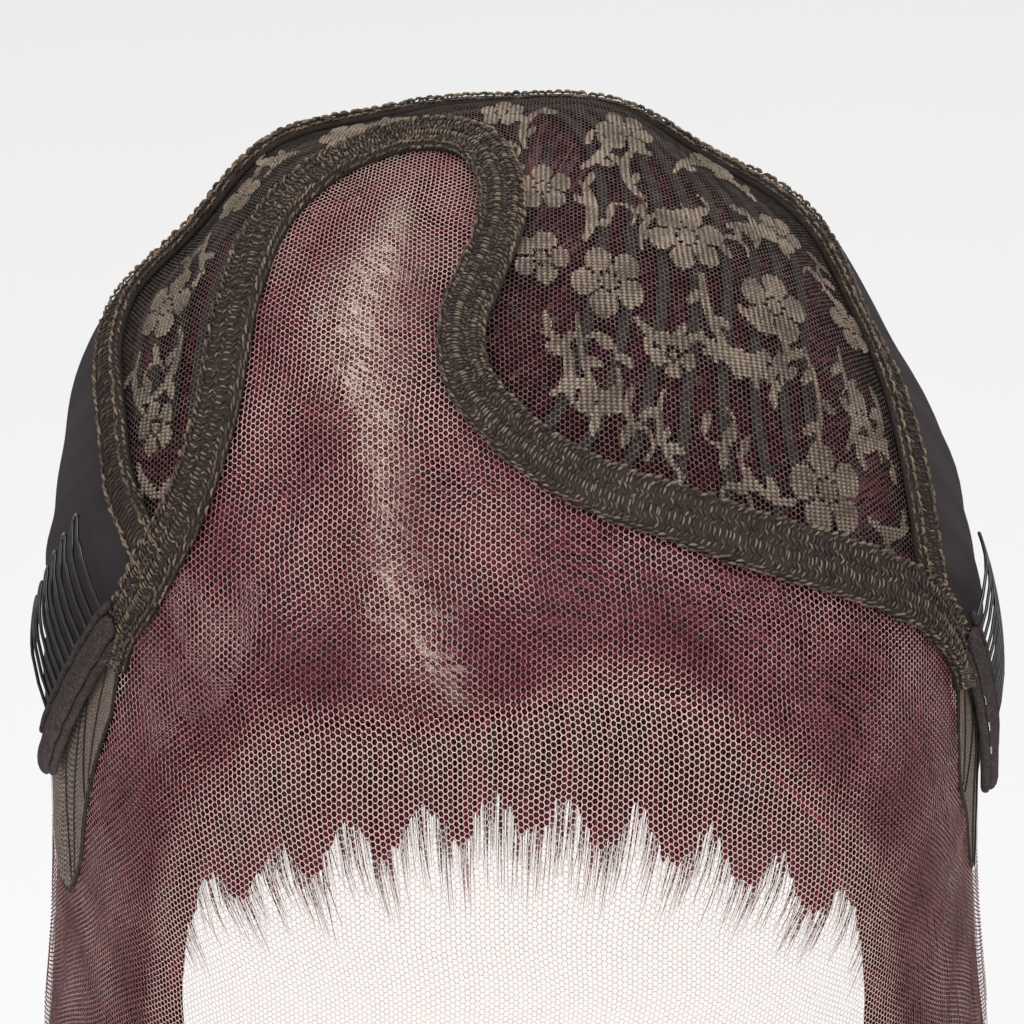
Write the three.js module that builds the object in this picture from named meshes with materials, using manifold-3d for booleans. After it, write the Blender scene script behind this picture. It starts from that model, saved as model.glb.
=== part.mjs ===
// A lace front wig, worn inside out so that its cap shows: a net front with knotted hair behind it, a
// floral stretch lace crown over rows of hair weft, a plain back panel, trims, ear tabs and two wire
// combs. Millimetres, +Z up. The front faces -Y and +X is the viewer's right. The origin is the middle
// of the head hollow at its widest girth.
import * as THREE from "three";
import { mergeVertices } from "three/addons/utils/BufferGeometryUtils.js";
import Module from "manifold-3d";

const wasm = await Module();
wasm.setup();

// The head form that the cap is sewn to fit
const HALF_WIDTH = 80;
const HALF_LENGTH = 98;
const RISE = 95; // girth to crown
const FULLNESS = 2.35; // power of the round outline: 2 is an ellipse, more is squarer
const CROWN_SHIFT = 6; // how far the crown sits toward the viewer's left
const TUCK_DEPTH = 65; // the depth below the girth at which the two values below are reached
const SIDE_FLARE = 3.5;
const NAPE_TUCK = 10;

// Cloth, trims and hair
const CLOTH = 1;
const LAYER_GAP = 0.5; // between one layer of the cap and the next
const EDGE_GAP = 0.6; // between neighbouring panels, under a trim
const TRIM_WIDTH = 9;
const TRIM_THICKNESS = 1.5;
const TAPE_WIDTH = 6.6;
const TAPE_THICKNESS = 1.1;
const WEFT_WIDTH = 2.2;
const WEFT_THICKNESS = 0.8;
const HAIR_THICKNESS = 2.4;
const LOCK_RELIEF = 1.4; // how far a lock stands proud of the hollow beside it
const BACK_LOCKS = 16;
const SIDE_LOCKS = 4; // across each side fall of the front hair

// Combs
const WIRE = 0.9;
const LOOPS = 6;
const LOOP_PITCH = 5.6;
const LOOP_WIDTH = 3; // over the wire's centres, at the foot of a loop
const LOOP_TIP_WIDTH = 2;
const TOOTH_LENGTH = 21;
const TOOTH_BOW = 1.1; // how far a tooth arches away from the head
const SLEEVE_WIDTH = 7;
const SLEEVE_THICKNESS = 3.6;
const WIRE_CLEARANCE = 0.3;

// Mesh steps
const FRONT_CELL = 6.4; // degrees on the head form
const CROWN_CELL = 5.4;
const BACK_CELL = 8.5;
const DEGREE = Math.PI / 180;

// The seam under the front trim, from the left temple round the parting to the right temple.
// lean: degrees toward the viewer's right; roll: degrees from the brow over the top; below: the share of
// the hairline that lies below this point.
const SEAM = [
  { lean: -46.2, roll: 33.3, below: 0.06 },
  { lean: -44.5, roll: 39.5, below: 0.1 },
  { lean: -40.5, roll: 44.8, below: 0.15 },
  { lean: -34.4, roll: 53, below: 0.22 },
  { lean: -30.3, roll: 63.2, below: 0.28 },
  { lean: -28, roll: 78, below: 0.33 },
  { lean: -24.4, roll: 90, below: 0.37 },
  { lean: -17.3, roll: 98, below: 0.41 },
  { lean: -8.6, roll: 101.2, below: 0.44 },
  { lean: -1.7, roll: 99.3, below: 0.46 },
  { lean: 2, roll: 92.6, below: 0.47 },
  { lean: 2.7, roll: 84.8, below: 0.48 },
  { lean: 0.5, roll: 76.7, below: 0.49 },
  { lean: -1.4, roll: 70.7, below: 0.5 },
  { lean: -0.6, roll: 64.5, below: 0.52 },
  { lean: 4.4, roll: 59, below: 0.56 },
  { lean: 11.5, roll: 54.9, below: 0.6 },
  { lean: 21.5, roll: 52.3, below: 0.66 },
  { lean: 33, roll: 50.2, below: 0.73 },
  { lean: 44.7, roll: 49, below: 0.79 },
  { lean: 57.7, roll: 46.5, below: 0.86 },
  { lean: 64.5, roll: 38, below: 0.9 },
  { lean: 65, roll: 29.5, below: 0.93 },
];

// The crown tape, temple to temple over the back of the crown. Row for row it lies across the crown lace
// from the seam's rows, starting with the seam's third.
const TAPE_FIRST_SEAM_ROW = 2;
const TAPE = [
  { lean: -38.5, roll: 47 },
  { lean: -44.5, roll: 58 },
  { lean: -47, roll: 70 },
  { lean: -49.5, roll: 86 },
  { lean: -48.5, roll: 100 },
  { lean: -42, roll: 110 },
  { lean: -31, roll: 114 },
  { lean: -20, roll: 117 },
  { lean: -8, roll: 119 },
  { lean: 3, roll: 121 },
  { lean: 14, roll: 121 },
  { lean: 25, roll: 118 },
  { lean: 35, roll: 115 },
  { lean: 43, roll: 110 },
  { lean: 48.5, roll: 100 },
  { lean: 51.5, roll: 90 },
  { lean: 54, roll: 75 },
  { lean: 56, roll: 60 },
  { lean: 57.5, roll: 49 },
];

// Where the knotted hair ends round the bare net of the forehead, left side up, across and down
const HAIRLINE = [
  { lean: -40.3, roll: -14 },
  { lean: -40.3, roll: -2 },
  { lean: -37.7, roll: 10 },
  { lean: -33.3, roll: 18.8 },
  { lean: -28.4, roll: 24.8 },
  { lean: -22, roll: 28.5 },
  { lean: -16, roll: 30 },
  { lean: -9.5, roll: 29.2 },
  { lean: -5, roll: 29.7 },
  { lean: 1.8, roll: 31.1 },
  { lean: 8.5, roll: 32.7 },
  { lean: 15.2, roll: 34.8 },
  { lean: 21.8, roll: 33.8 },
  { lean: 28.4, roll: 29.1 },
  { lean: 34.3, roll: 24.1 },
  { lean: 40.7, roll: 15.8 },
  { lean: 45.2, roll: 6.4 },
  { lean: 47.7, roll: -8.5 },
  { lean: 47, roll: -20 },
];

// The lower outlines. bearing: degrees round the head from the brow toward the viewer's right;
// rise: degrees above the girth.
const LOWER_LACE_EDGE = [
  { bearing: -94, rise: -18 },
  { bearing: -96, rise: -37 },
  { bearing: -80, rise: -37 },
  { bearing: -60, rise: -31 },
  { bearing: -35, rise: -20 },
  { bearing: -12, rise: -12.5 },
  { bearing: 0, rise: -11.5 },
  { bearing: 12, rise: -12.5 },
  { bearing: 35, rise: -20 },
  { bearing: 60, rise: -31 },
  { bearing: 80, rise: -37 },
  { bearing: 98, rise: -38 },
  { bearing: 99, rise: -23 },
];
const HEM = [
  { bearing: 90, rise: -3.5 },
  { bearing: 98, rise: -6 },
  { bearing: 108, rise: -17 },
  { bearing: 122, rise: -28 },
  { bearing: 145, rise: -38 },
  { bearing: 180, rise: -42 },
  { bearing: 215, rise: -38 },
  { bearing: 240, rise: -25 },
  { bearing: 260, rise: -8 },
  { bearing: 272, rise: 1 },
  { bearing: 282, rise: 4 },
];

const FALL_TIP_RISE = -48; // where the front hair's side falls end

// The two temples. front, foot and back go round an ear tab; sleeve is the comb's line, top and bottom;
// teeth says on which side of that line the teeth lie; fall is the outer edge of the front hair.
const TEMPLES = [
  {
    name: "left",
    front: [
      { bearing: -51.3, rise: 18.7 },
      { bearing: -53.5, rise: 12 },
      { bearing: -56.3, rise: 3 },
      { bearing: -58.5, rise: -4 },
    ],
    foot: [
      { bearing: -64, rise: -11 },
      { bearing: -76, rise: -12 },
    ],
    back: [
      { bearing: -81, rise: -5 },
      { bearing: -77, rise: 1 },
    ],
    sleeve: [
      { bearing: -52, rise: 28.7 },
      { bearing: -58.5, rise: 16.4 },
      { bearing: -65.4, rise: 3.7 },
    ],
    teeth: -1,
    fall: [
      { bearing: -90, rise: FALL_TIP_RISE },
      { bearing: -85, rise: -30 },
      { bearing: -75, rise: -8 },
      { bearing: -64, rise: 8 },
    ],
    innerFall: [
      { bearing: -38, rise: FALL_TIP_RISE },
      { bearing: -37.5, rise: -32 },
    ],
  },
  {
    name: "right",
    front: [
      { bearing: 66.6, rise: 8.7 },
      { bearing: 66.2, rise: 3.2 },
      { bearing: 70, rise: -4 },
    ],
    foot: [
      { bearing: 76, rise: -16 },
      { bearing: 88, rise: -19 },
    ],
    back: [
      { bearing: 94, rise: -14 },
      { bearing: 89, rise: -9.5 },
    ],
    sleeve: [
      { bearing: 71.2, rise: 18.2 },
      { bearing: 74.6, rise: 5.2 },
      { bearing: 79.9, rise: -7.9 },
    ],
    teeth: 1,
    fall: [
      { bearing: 92, rise: FALL_TIP_RISE },
      { bearing: 88, rise: -30 },
      { bearing: 80, rise: -12 },
      { bearing: 73, rise: 0 },
    ],
    innerFall: [
      { bearing: 44, rise: FALL_TIP_RISE },
      { bearing: 46, rise: -34 },
    ],
  },
];

// Dents and lumps where seams pull the cap in or the hair below lifts it
const DENTS = [
  { lean: 0, roll: 140, spread: 40, lift: -0.079 },
  { lean: -53, roll: 108, spread: 11, lift: 0.025 },
  { lean: -42, roll: 110, spread: 13, lift: -0.048 },
  { lean: -28, roll: 115, spread: 12, lift: 0.032 },
  { lean: -17, roll: 116, spread: 12, lift: -0.011 },
  { lean: -6, roll: 112, spread: 12, lift: 0.034 },
  { lean: 14, roll: 113, spread: 13, lift: 0.062 },
  { lean: 27, roll: 117, spread: 13, lift: -0.037 },
  { lean: 40, roll: 120, spread: 13, lift: 0.035 },
  { lean: 54, roll: 114, spread: 15, lift: -0.066 },
];

// Rows of hair weft between the seam and the tape, spaced evenly from a group's first row to its last.
// around: the share of the way from the left temple to the right; up: the share from the seam to the tape.
const WEFT_ROWS = [
  {
    name: "left",
    count: 4,
    first: { start: { around: 0.11, up: 0.2 }, end: { around: 0.37, up: 0.2 } },
    last: { start: { around: 0.11, up: 0.8 }, end: { around: 0.37, up: 0.8 } },
  },
  {
    name: "right",
    count: 8,
    first: { start: { around: 0.735, up: 0.03 }, end: { around: 0.42, up: 0.93 } },
    last: { start: { around: 0.955, up: 0.03 }, end: { around: 0.67, up: 0.93 } },
  },
];
const WEFT_BEND = 1.5; // above 1, a row keeps to its start's side of the head at first

const COLOURS = {
  front_lace: { color: 0xd9c3b4, roughness: 0.85 },
  stretch_lace: { color: 0x86796a, roughness: 0.85 },
  panel: { color: 0x3f373a, roughness: 0.75 },
  trim: { color: 0x55493d, roughness: 0.95 },
  tape: { color: 0x63513a, roughness: 0.85 },
  tab_mesh: { color: 0x776c62, roughness: 0.85 },
  sleeve: { color: 0x4b423d, roughness: 0.95 },
  comb_wire: { color: 0x101012, roughness: 0.25, metalness: 0.6 },
  hair: { color: 0x4a0f1c, roughness: 0.45 },
};

// Directions from the middle of the head

function overHead({ lean, roll }) {
  const flat = Math.cos(lean * DEGREE);
  return new THREE.Vector3(
    Math.sin(lean * DEGREE),
    -flat * Math.cos(roll * DEGREE),
    flat * Math.sin(roll * DEGREE),
  );
}

function roundHead({ bearing, rise }) {
  const flat = Math.cos(rise * DEGREE);
  return new THREE.Vector3(
    flat * Math.sin(bearing * DEGREE),
    -flat * Math.cos(bearing * DEGREE),
    Math.sin(rise * DEGREE),
  );
}

// Two flat charts of the head: one has its poles at the ears, the other at the crown.
const EAR_CHART = {
  direction: (x, y) => overHead({ lean: x, roll: y }),
  place: (n) => new THREE.Vector2(Math.asin(n.x), Math.atan2(n.z, -n.y)).divideScalar(DEGREE),
};
const CROWN_CHART = {
  direction: (x, y) => roundHead({ bearing: x, rise: y }),
  place: (n) => {
    const bearing = Math.atan2(n.x, -n.y) / DEGREE;
    return new THREE.Vector2(bearing < 0 ? bearing + 360 : bearing, Math.asin(n.z) / DEGREE);
  },
};

const dentsAt = DENTS.map((dent) => ({ ...dent, at: overHead(dent) }));

function liftAt(n) {
  return dentsAt.reduce((sum, { at, spread, lift }) => {
    const away = Math.acos(THREE.MathUtils.clamp(at.dot(n), -1, 1)) / DEGREE / spread;
    return sum + lift * RISE * Math.exp(-away * away);
  }, 0);
}

// The point at a height over the head form, in a direction from its middle
function onHead(direction, height) {
  const n = direction.clone().normalize();
  const up = height + liftAt(n);
  if (n.z >= 0) {
    const reach = (Math.abs(n.x) ** FULLNESS + Math.hypot(n.y, n.z) ** FULLNESS) ** (-1 / FULLNESS);
    const z = (RISE + up) * reach * n.z;
    const shift = CROWN_SHIFT * (z / RISE) ** 1.5;
    return new THREE.Vector3((HALF_WIDTH + up) * reach * n.x - shift, (HALF_LENGTH + up) * reach * n.y, z);
  }
  const flat = Math.hypot(n.x, n.y);
  const side = n.x / flat;
  const ahead = n.y / flat;
  const reach = (Math.abs(side) ** FULLNESS + Math.abs(ahead) ** FULLNESS) ** (-1 / FULLNESS);
  const z = (RISE * reach * n.z) / flat;
  const depth = Math.min(-z / TUCK_DEPTH, 1.6) ** 2;
  const tuck = ahead > 0 ? NAPE_TUCK * depth : 0;
  return new THREE.Vector3(
    (HALF_WIDTH + up + SIDE_FLARE * depth) * reach * side,
    (HALF_LENGTH + up - tuck) * reach * ahead,
    z,
  );
}

function curveThrough(directions) {
  return new THREE.CatmullRomCurve3(directions, false, "centripetal");
}

// A direction moved sideways by a distance in millimetres
function aside(n, side, distance) {
  return n
    .clone()
    .addScaledVector(side, distance / onHead(n, 0).length())
    .normalize();
}

// The direction at t along a curve of directions, and the one at right angles to it on the head
function frameAt(curve, t) {
  const step = 0.004;
  const n = curve.getPoint(t).normalize();
  const ahead = curve.getPoint(Math.min(t + step, 1)).sub(curve.getPoint(Math.max(t - step, 0)));
  return { n, side: n.clone().cross(ahead).normalize() };
}

// Solids

function solidOf(geometry) {
  const bare = geometry.clone();
  bare.deleteAttribute("normal");
  bare.deleteAttribute("uv");
  const merged = mergeVertices(bare, 1e-4);
  return new wasm.Manifold(
    new wasm.Mesh({
      numProp: 3,
      vertProperties: merged.attributes.position.array,
      triVerts: new Uint32Array(merged.index.array),
    }),
  );
}

function largest(solid) {
  return solid.decompose().sort((a, b) => b.volume() - a.volume())[0];
}

function geometryOf(solid) {
  const { numProp, vertProperties, triVerts } = solid.getMesh();
  const points = new Float32Array((vertProperties.length / numProp) * 3);
  for (let i = 0; i < points.length / 3; i++) {
    points.set(vertProperties.subarray(i * numProp, i * numProp + 3), i * 3);
  }
  return new THREE.BufferGeometry()
    .setAttribute("position", new THREE.BufferAttribute(points, 3))
    .setIndex(new THREE.BufferAttribute(new Uint32Array(triVerts), 1));
}

function geometryFrom(points, faces) {
  return new THREE.BufferGeometry()
    .setAttribute("position", new THREE.Float32BufferAttribute(points.flatMap((p) => p.toArray()), 3))
    .setIndex(faces.flat());
}

// Turns the faces round if they point inwards
function facingOut(points, faces) {
  const volume = faces.reduce(
    (sum, [a, b, c]) => sum + points[a].dot(new THREE.Vector3().crossVectors(points[b], points[c])),
    0,
  );
  return geometryFrom(points, volume < 0 ? faces.map(([a, b, c]) => [a, c, b]) : faces);
}

// A closed body through rings of points, each ring an outline placed in space
function loft(rings, outline) {
  const count = outline.length;
  const last = (rings.length - 1) * count;
  const faces = [];
  for (let i = 0; i < last; i += count) {
    for (let j = 0; j < count; j++) {
      const a = i + j;
      const b = i + ((j + 1) % count);
      faces.push([a, b, b + count], [a, b + count, a + count]);
    }
  }
  for (const [a, b, c] of THREE.ShapeUtils.triangulateShape(outline, [])) {
    const onward = THREE.ShapeUtils.area([outline[a], outline[b], outline[c]]) > 0;
    const [p, q] = onward ? [b, c] : [c, b];
    faces.push([a, q, p], [last + a, last + p, last + q]);
  }
  return facingOut(rings.flat(), faces);
}

// A closed section of [across, height] corners swept along a stretch of a curve on the head
function sweep(curve, steps, section, { widthAt = () => 1, from = 0, to = 1 } = {}) {
  const outline = section.map(([across, height]) => new THREE.Vector2(across, height));
  if (THREE.ShapeUtils.isClockWise(outline)) outline.reverse();
  const rings = Array.from({ length: steps + 1 }, (_, i) => {
    const t = THREE.MathUtils.lerp(from, to, i / steps);
    const { n, side } = frameAt(curve, t);
    return outline.map((corner) => onHead(aside(n, side, corner.x * widthAt(t)), corner.y));
  });
  return loft(rings, outline);
}

// A round wire through places { at, normal }, the normal being one that the wire never runs along
function wire(places, radius, sides) {
  const outline = Array.from({ length: sides }, (_, j) => {
    const turn = (2 * Math.PI * j) / sides;
    return new THREE.Vector2(radius * Math.cos(turn), radius * Math.sin(turn));
  });
  const rings = places.map(({ at, normal }, i) => {
    const before = places[Math.max(i - 1, 0)].at;
    const after = places[Math.min(i + 1, places.length - 1)].at;
    const across = after.clone().sub(before).cross(normal).normalize();
    const up = across.clone().cross(after.clone().sub(before)).normalize();
    return outline.map(({ x, y }) => at.clone().addScaledVector(across, x).addScaledVector(up, y));
  });
  return loft(rings, outline);
}

// A cloth panel: a gridded flat sheet cut to an outline on a chart, then laid over the head
function panel(outline, chart, cell) {
  const flat = outline.map(chart.place);
  const box = new THREE.Box2().setFromPoints(flat).expandByScalar(cell / 2);
  const size = box.getSize(new THREE.Vector2());
  const middle = box.getCenter(new THREE.Vector2());
  const [across, up] = [Math.round(size.x / cell), Math.round(size.y / cell)];
  const sheet = new THREE.BoxGeometry(size.x, size.y, CLOTH, across, up, 1);
  sheet.translate(middle.x, middle.y, -CLOTH / 2);
  const cutter = new THREE.ExtrudeGeometry(new THREE.Shape(flat), { depth: 3 * CLOTH, bevelEnabled: false });
  cutter.translate(0, 0, -2 * CLOTH);
  const cut = geometryOf(solidOf(sheet).intersect(solidOf(cutter)));
  const position = cut.attributes.position;
  for (let i = 0; i < position.count; i++) {
    const p = onHead(chart.direction(position.getX(i), position.getY(i)), position.getZ(i));
    position.setXYZ(i, p.x, p.y, p.z);
  }
  return cut;
}

// A shell over a grid of directions, with the height of its outer and inner face at each place
function shell(at, across, down, heights) {
  const points = [];
  for (const layer of [0, 1]) {
    for (let j = 0; j <= down; j++) {
      for (let i = 0; i <= across; i++) {
        const [s, v] = [i / across, j / down];
        const n = at(s, v).normalize();
        points.push(onHead(n, heights(s, v, n)[layer]));
      }
    }
  }
  const row = across + 1;
  const under = row * (down + 1);
  const faces = [];
  const quad = (a, b, c, d) => faces.push([a, b, c], [a, c, d]);
  for (let j = 0; j < down; j++) {
    for (let i = 0; i < across; i++) {
      const a = j * row + i;
      quad(a, a + row, a + row + 1, a + 1);
      quad(under + a, under + a + 1, under + a + row + 1, under + a + row);
    }
    const start = j * row;
    const end = start + across;
    quad(start, under + start, under + start + row, start + row);
    quad(end, end + row, under + end + row, under + end);
  }
  for (let i = 0; i < across; i++) {
    const last = down * row + i;
    quad(i, i + 1, under + i + 1, under + i);
    quad(last, under + last, under + last + 1, last + 1);
  }
  return facingOut(points, faces);
}

// The curves of the cap

const seamCurve = curveThrough(SEAM.map(overHead));
const tapeCurve = curveThrough(TAPE.map(overHead));
const hairlineCurve = curveThrough(HAIRLINE.map(overHead));
const seamShare = (row) => row / (SEAM.length - 1);
const TAPE_LAST_SEAM_ROW = TAPE_FIRST_SEAM_ROW + TAPE.length - 1;
const [left, right] = TEMPLES.map((temple) => ({
  ...temple,
  sleeveCurve: curveThrough(temple.sleeve.map(roundHead)),
  tabEdge: curveThrough([...temple.front, ...temple.foot, ...temple.back].map(roundHead)),
}));

// Places along a curve, moved sideways by a distance in millimetres. Seen from outside, a positive
// shift lies on the left of someone who walks along the curve.
function line(curve, steps, shift = 0, from = 0, to = 1) {
  return Array.from({ length: steps + 1 }, (_, i) => {
    const { n, side } = frameAt(curve, from + ((to - from) * i) / steps);
    return aside(n, side, shift);
  });
}

function lengthOn(curve) {
  const places = line(curve, 40).map((n) => onHead(n, 0));
  return places.slice(1).reduce((sum, p, i) => sum + p.distanceTo(places[i]), 0);
}

// Cloth panels

const HALF_GAP = EDGE_GAP / 2;

function laceFront() {
  const tabSide = ({ front, foot, tabEdge, teeth }) => {
    const share = (front.length + foot.length - 1) / (tabEdge.points.length - 1);
    return line(tabEdge, 12, -teeth * EDGE_GAP, 0, share);
  };
  const outline = [
    ...line(seamCurve, 56, -HALF_GAP),
    ...tabSide(right),
    ...line(curveThrough(LOWER_LACE_EDGE.map(roundHead)), 34).reverse(),
    ...tabSide(left).reverse(),
  ];
  return panel(outline, EAR_CHART, FRONT_CELL);
}

function crownLace() {
  const [from, to] = [seamShare(TAPE_FIRST_SEAM_ROW + 0.8), seamShare(TAPE_LAST_SEAM_ROW - 0.3)];
  const outline = [
    ...line(seamCurve, 44, HALF_GAP, from, to),
    ...line(tapeCurve, 40, -HALF_GAP, 0.03, 0.98).reverse(),
  ];
  return panel(outline, EAR_CHART, CROWN_CELL);
}

function backPanel() {
  const outline = [
    ...line(tapeCurve, 40, HALF_GAP, 0.01, 0.99),
    ...line(right.sleeveCurve, 6, HALF_GAP),
    ...line(curveThrough(HEM.map(roundHead)), 28),
    ...line(left.sleeveCurve, 6, -HALF_GAP).reverse(),
  ];
  return panel(outline, CROWN_CHART, BACK_CELL);
}

function earTab({ teeth, sleeveCurve, tabEdge }) {
  const outline = [...line(sleeveCurve, 6, -teeth * HALF_GAP), ...line(tabEdge, 18).reverse()];
  return panel(outline, CROWN_CHART, BACK_CELL);
}

// Trims and combs

// A band's section: flat below, and above it lower in the middle than along its edges
function bandSection(width, thickness, middle) {
  const half = width / 2;
  const floor = LAYER_GAP;
  return [
    [-half, floor],
    [half, floor],
    [half, floor + thickness],
    [0.55 * half, floor + middle * thickness],
    [-0.55 * half, floor + middle * thickness],
    [-half, floor + thickness],
  ];
}

function boxSection(width, low, high) {
  const half = width / 2;
  return [
    [-half, low],
    [half, low],
    [half, high],
    [-half, high],
  ];
}

const TRIM_STEPS = 52;
const TAPE_STEPS = 40;
const SLEEVE_STEPS = 10;
const TRIM_END = 0.09; // the share of the trim's length over which each end narrows
const TRIM_END_WIDTH = 0.55;

const trimWidthAt = (t) => THREE.MathUtils.lerp(TRIM_END_WIDTH, 1, Math.min(Math.min(t, 1 - t) / TRIM_END, 1));
const CLEARANCE_TOP = LAYER_GAP + SLEEVE_THICKNESS + EDGE_GAP;

// The space that a band and its clearance take, for cutting what ends against it
function clearanceOf(curve, steps, width, widthAt) {
  return solidOf(sweep(curve, steps, boxSection(width + 2 * EDGE_GAP, 0, CLEARANCE_TOP), { widthAt }));
}

function frontTrim() {
  const band = solidOf(sweep(seamCurve, TRIM_STEPS, bandSection(TRIM_WIDTH, TRIM_THICKNESS, 0.7), {
    widthAt: trimWidthAt,
  }));
  return geometryOf(
    [left, right].reduce(
      (solid, { sleeveCurve }) => solid.subtract(clearanceOf(sleeveCurve, SLEEVE_STEPS, SLEEVE_WIDTH)),
      band,
    ),
  );
}

function crownTape() {
  const band = solidOf(sweep(tapeCurve, TAPE_STEPS, bandSection(TAPE_WIDTH, TAPE_THICKNESS, 0.85)));
  const trim = clearanceOf(seamCurve, TRIM_STEPS, TRIM_WIDTH, trimWidthAt);
  return geometryOf(largest(band.subtract(trim)));
}

const SLEEVE_ENDS = 0.03; // the share of its line that a sleeve leaves free at each end
const SPINE_HEIGHT = LAYER_GAP + SLEEVE_THICKNESS / 2;
const SPINE_ACROSS = -SLEEVE_WIDTH / 4; // behind the sleeve's middle, away from the teeth

// A folded cloth sleeve: a channel for the comb's spine, open on the side of the teeth
function combSleeve({ teeth, sleeveCurve }) {
  const half = SLEEVE_WIDTH / 2;
  const slot = WIRE / 2 + WIRE_CLEARANCE;
  const [low, high] = [LAYER_GAP, LAYER_GAP + SLEEVE_THICKNESS];
  const round = SLEEVE_THICKNESS / 4;
  const section = [
    [-half, low],
    [half, low],
    [half, SPINE_HEIGHT - slot],
    [SPINE_ACROSS - slot, SPINE_HEIGHT - slot],
    [SPINE_ACROSS - slot, SPINE_HEIGHT + slot],
    [half, SPINE_HEIGHT + slot],
    [half, high - round],
    [half - round, high],
    [-half + round, high],
    [-half, high - round],
  ];
  return sweep(
    sleeveCurve,
    SLEEVE_STEPS,
    section.map(([across, height]) => [across * teeth, height]),
    { from: SLEEVE_ENDS, to: 1 - SLEEVE_ENDS },
  );
}

// One half of a wire loop. side: share of the loop's half width at its foot or tip; reach: share of the
// tooth's length; end: 0 at the foot's width, 1 at the tip's.
const LOOP = [
  { side: 1, reach: 0, end: 0 },
  { side: 1, reach: 0.4, end: 0 },
  { side: 1, reach: 0.68, end: 0 },
  { side: 1, reach: 0.78, end: 1 },
  { side: 0.95, reach: 0.96, end: 1 },
];
const COMB_MARGIN = 5; // from the sleeve's upper end to the first loop's middle
const WIRE_SIDES = 5;

function comb({ teeth, sleeveCurve }) {
  const length = lengthOn(sleeveCurve);
  const place = (along, reach) => {
    const { n, side } = frameAt(sleeveCurve, along / length);
    const across = THREE.MathUtils.lerp(SPINE_ACROSS, TOOTH_LENGTH, reach);
    const at = aside(n, side, teeth * across);
    const out = Math.max(across - SLEEVE_WIDTH / 2, 0) / (TOOTH_LENGTH - SLEEVE_WIDTH / 2);
    const bow = TOOTH_BOW * Math.sin(Math.PI * out);
    return { at: onHead(at, SPINE_HEIGHT + bow), normal: at };
  };
  const loopPlaces = (middle) => {
    const half = LOOP.map(({ side, reach, end }) => ({
      offset: (side * THREE.MathUtils.lerp(LOOP_WIDTH, LOOP_TIP_WIDTH, end)) / 2,
      reach,
    }));
    return [
      ...half.map(({ offset, reach }) => place(middle - offset, reach)),
      place(middle, 1),
      ...half.reverse().map(({ offset, reach }) => place(middle + offset, reach)),
    ];
  };
  const start = COMB_MARGIN - LOOP_WIDTH / 2;
  const end = COMB_MARGIN + (LOOPS - 1) * LOOP_PITCH + LOOP_WIDTH / 2;
  const spine = Array.from({ length: 7 }, (_, i) => place(start + ((end - start) * i) / 6, 0));
  let solid = solidOf(wire(spine, WIRE / 2, WIRE_SIDES));
  for (let i = 0; i < LOOPS; i++) {
    const middle = COMB_MARGIN + i * LOOP_PITCH;
    solid = solid.add(solidOf(wire(loopPlaces(middle), WIRE / 2, WIRE_SIDES)));
  }
  return geometryOf(largest(solid));
}

// Hair

const HAIR_TOP = -(CLOTH + LAYER_GAP);
const WEFT_HAIR_TOP = HAIR_TOP - WEFT_THICKNESS - LAYER_GAP;
const LOCK_POINT = 0.05; // how far a lock's tip hangs below the hollows beside it, as a share of its distance
const PART_SHIFT = 3.4; // how far each layer of hair stops short of the seam above it

const lerp = (a, b, t) => a.clone().lerp(b, t);
const lockWave = (s, locks) => 0.5 - 0.5 * Math.cos(2 * Math.PI * locks * s);
// 0 under the cap and 1 where the hair hangs free below it
const freeAt = (n) => THREE.MathUtils.smoothstep(-n.z, 0.55, 0.68);

// Heights of the two faces of a hair layer. hollow: 0 on the crest of a lock, 1 between two locks.
function hairFaces(top, hollow, n) {
  const relief = LOCK_RELIEF * hollow;
  return [top - relief * freeAt(n), top - HAIR_THICKNESS - LOCK_RELIEF + relief];
}

// Knotted hair behind the front net: an arch from one side fall over the brow to the other
function frontHair() {
  const seamRows = SEAM.map((_, i) => {
    const { n, side } = frameAt(seamCurve, seamShare(i));
    return aside(n, side, -PART_SHIFT);
  });
  const falls = [left, right].map(({ fall }) => fall.map(roundHead));
  const outer = curveThrough([...falls[0], ...seamRows, ...falls[1].reverse()]);
  const innerFalls = [left, right].map(({ innerFall }) => innerFall.map(roundHead));
  const inner = curveThrough([
    ...innerFalls[0],
    ...[0, 0.03].map((t) => hairlineCurve.getPoint(t)),
    ...SEAM.map(({ below }) => hairlineCurve.getPoint(below)),
    ...[0.96, 1].map((t) => hairlineCurve.getPoint(t)),
    ...innerFalls[1].reverse(),
  ]);
  const at = (s, v) => {
    const n = lerp(outer.getPoint(s), inner.getPoint(s), v);
    n.z -= LOCK_POINT * freeAt(n) * (1 - lockWave(v, SIDE_LOCKS));
    return n;
  };
  return shell(at, 38, 8, (s, v, n) => hairFaces(HAIR_TOP, lockWave(v, SIDE_LOCKS), n));
}

// Where the wefts and their hair lie: s runs round from the left temple to the right, and v from the
// seam over the tape, at CROWN_SHARE, down to the hair's ends
const CROWN_SHARE = 3 / 7;
const WEFT_HAIR_ENDS = 0.04;
const TIPS = { from: -104, to: -256, rise: -45 }; // the ends of the wefted hair, by bearing

function weftAt(s, v) {
  const { n, side } = frameAt(seamCurve, seamShare(TAPE_FIRST_SEAM_ROW + s * (TAPE.length - 1)));
  const seam = aside(n, side, PART_SHIFT);
  const tape = tapeCurve.getPoint(s);
  if (v < CROWN_SHARE) return lerp(seam, tape, v / CROWN_SHARE);
  const bearing = THREE.MathUtils.lerp(TIPS.from, TIPS.to, s);
  const tip = roundHead({ bearing, rise: TIPS.rise });
  tip.z -= LOCK_POINT * (1 - lockWave(s, BACK_LOCKS));
  return lerp(tape, tip, (v - CROWN_SHARE) / (1 - CROWN_SHARE));
}

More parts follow.
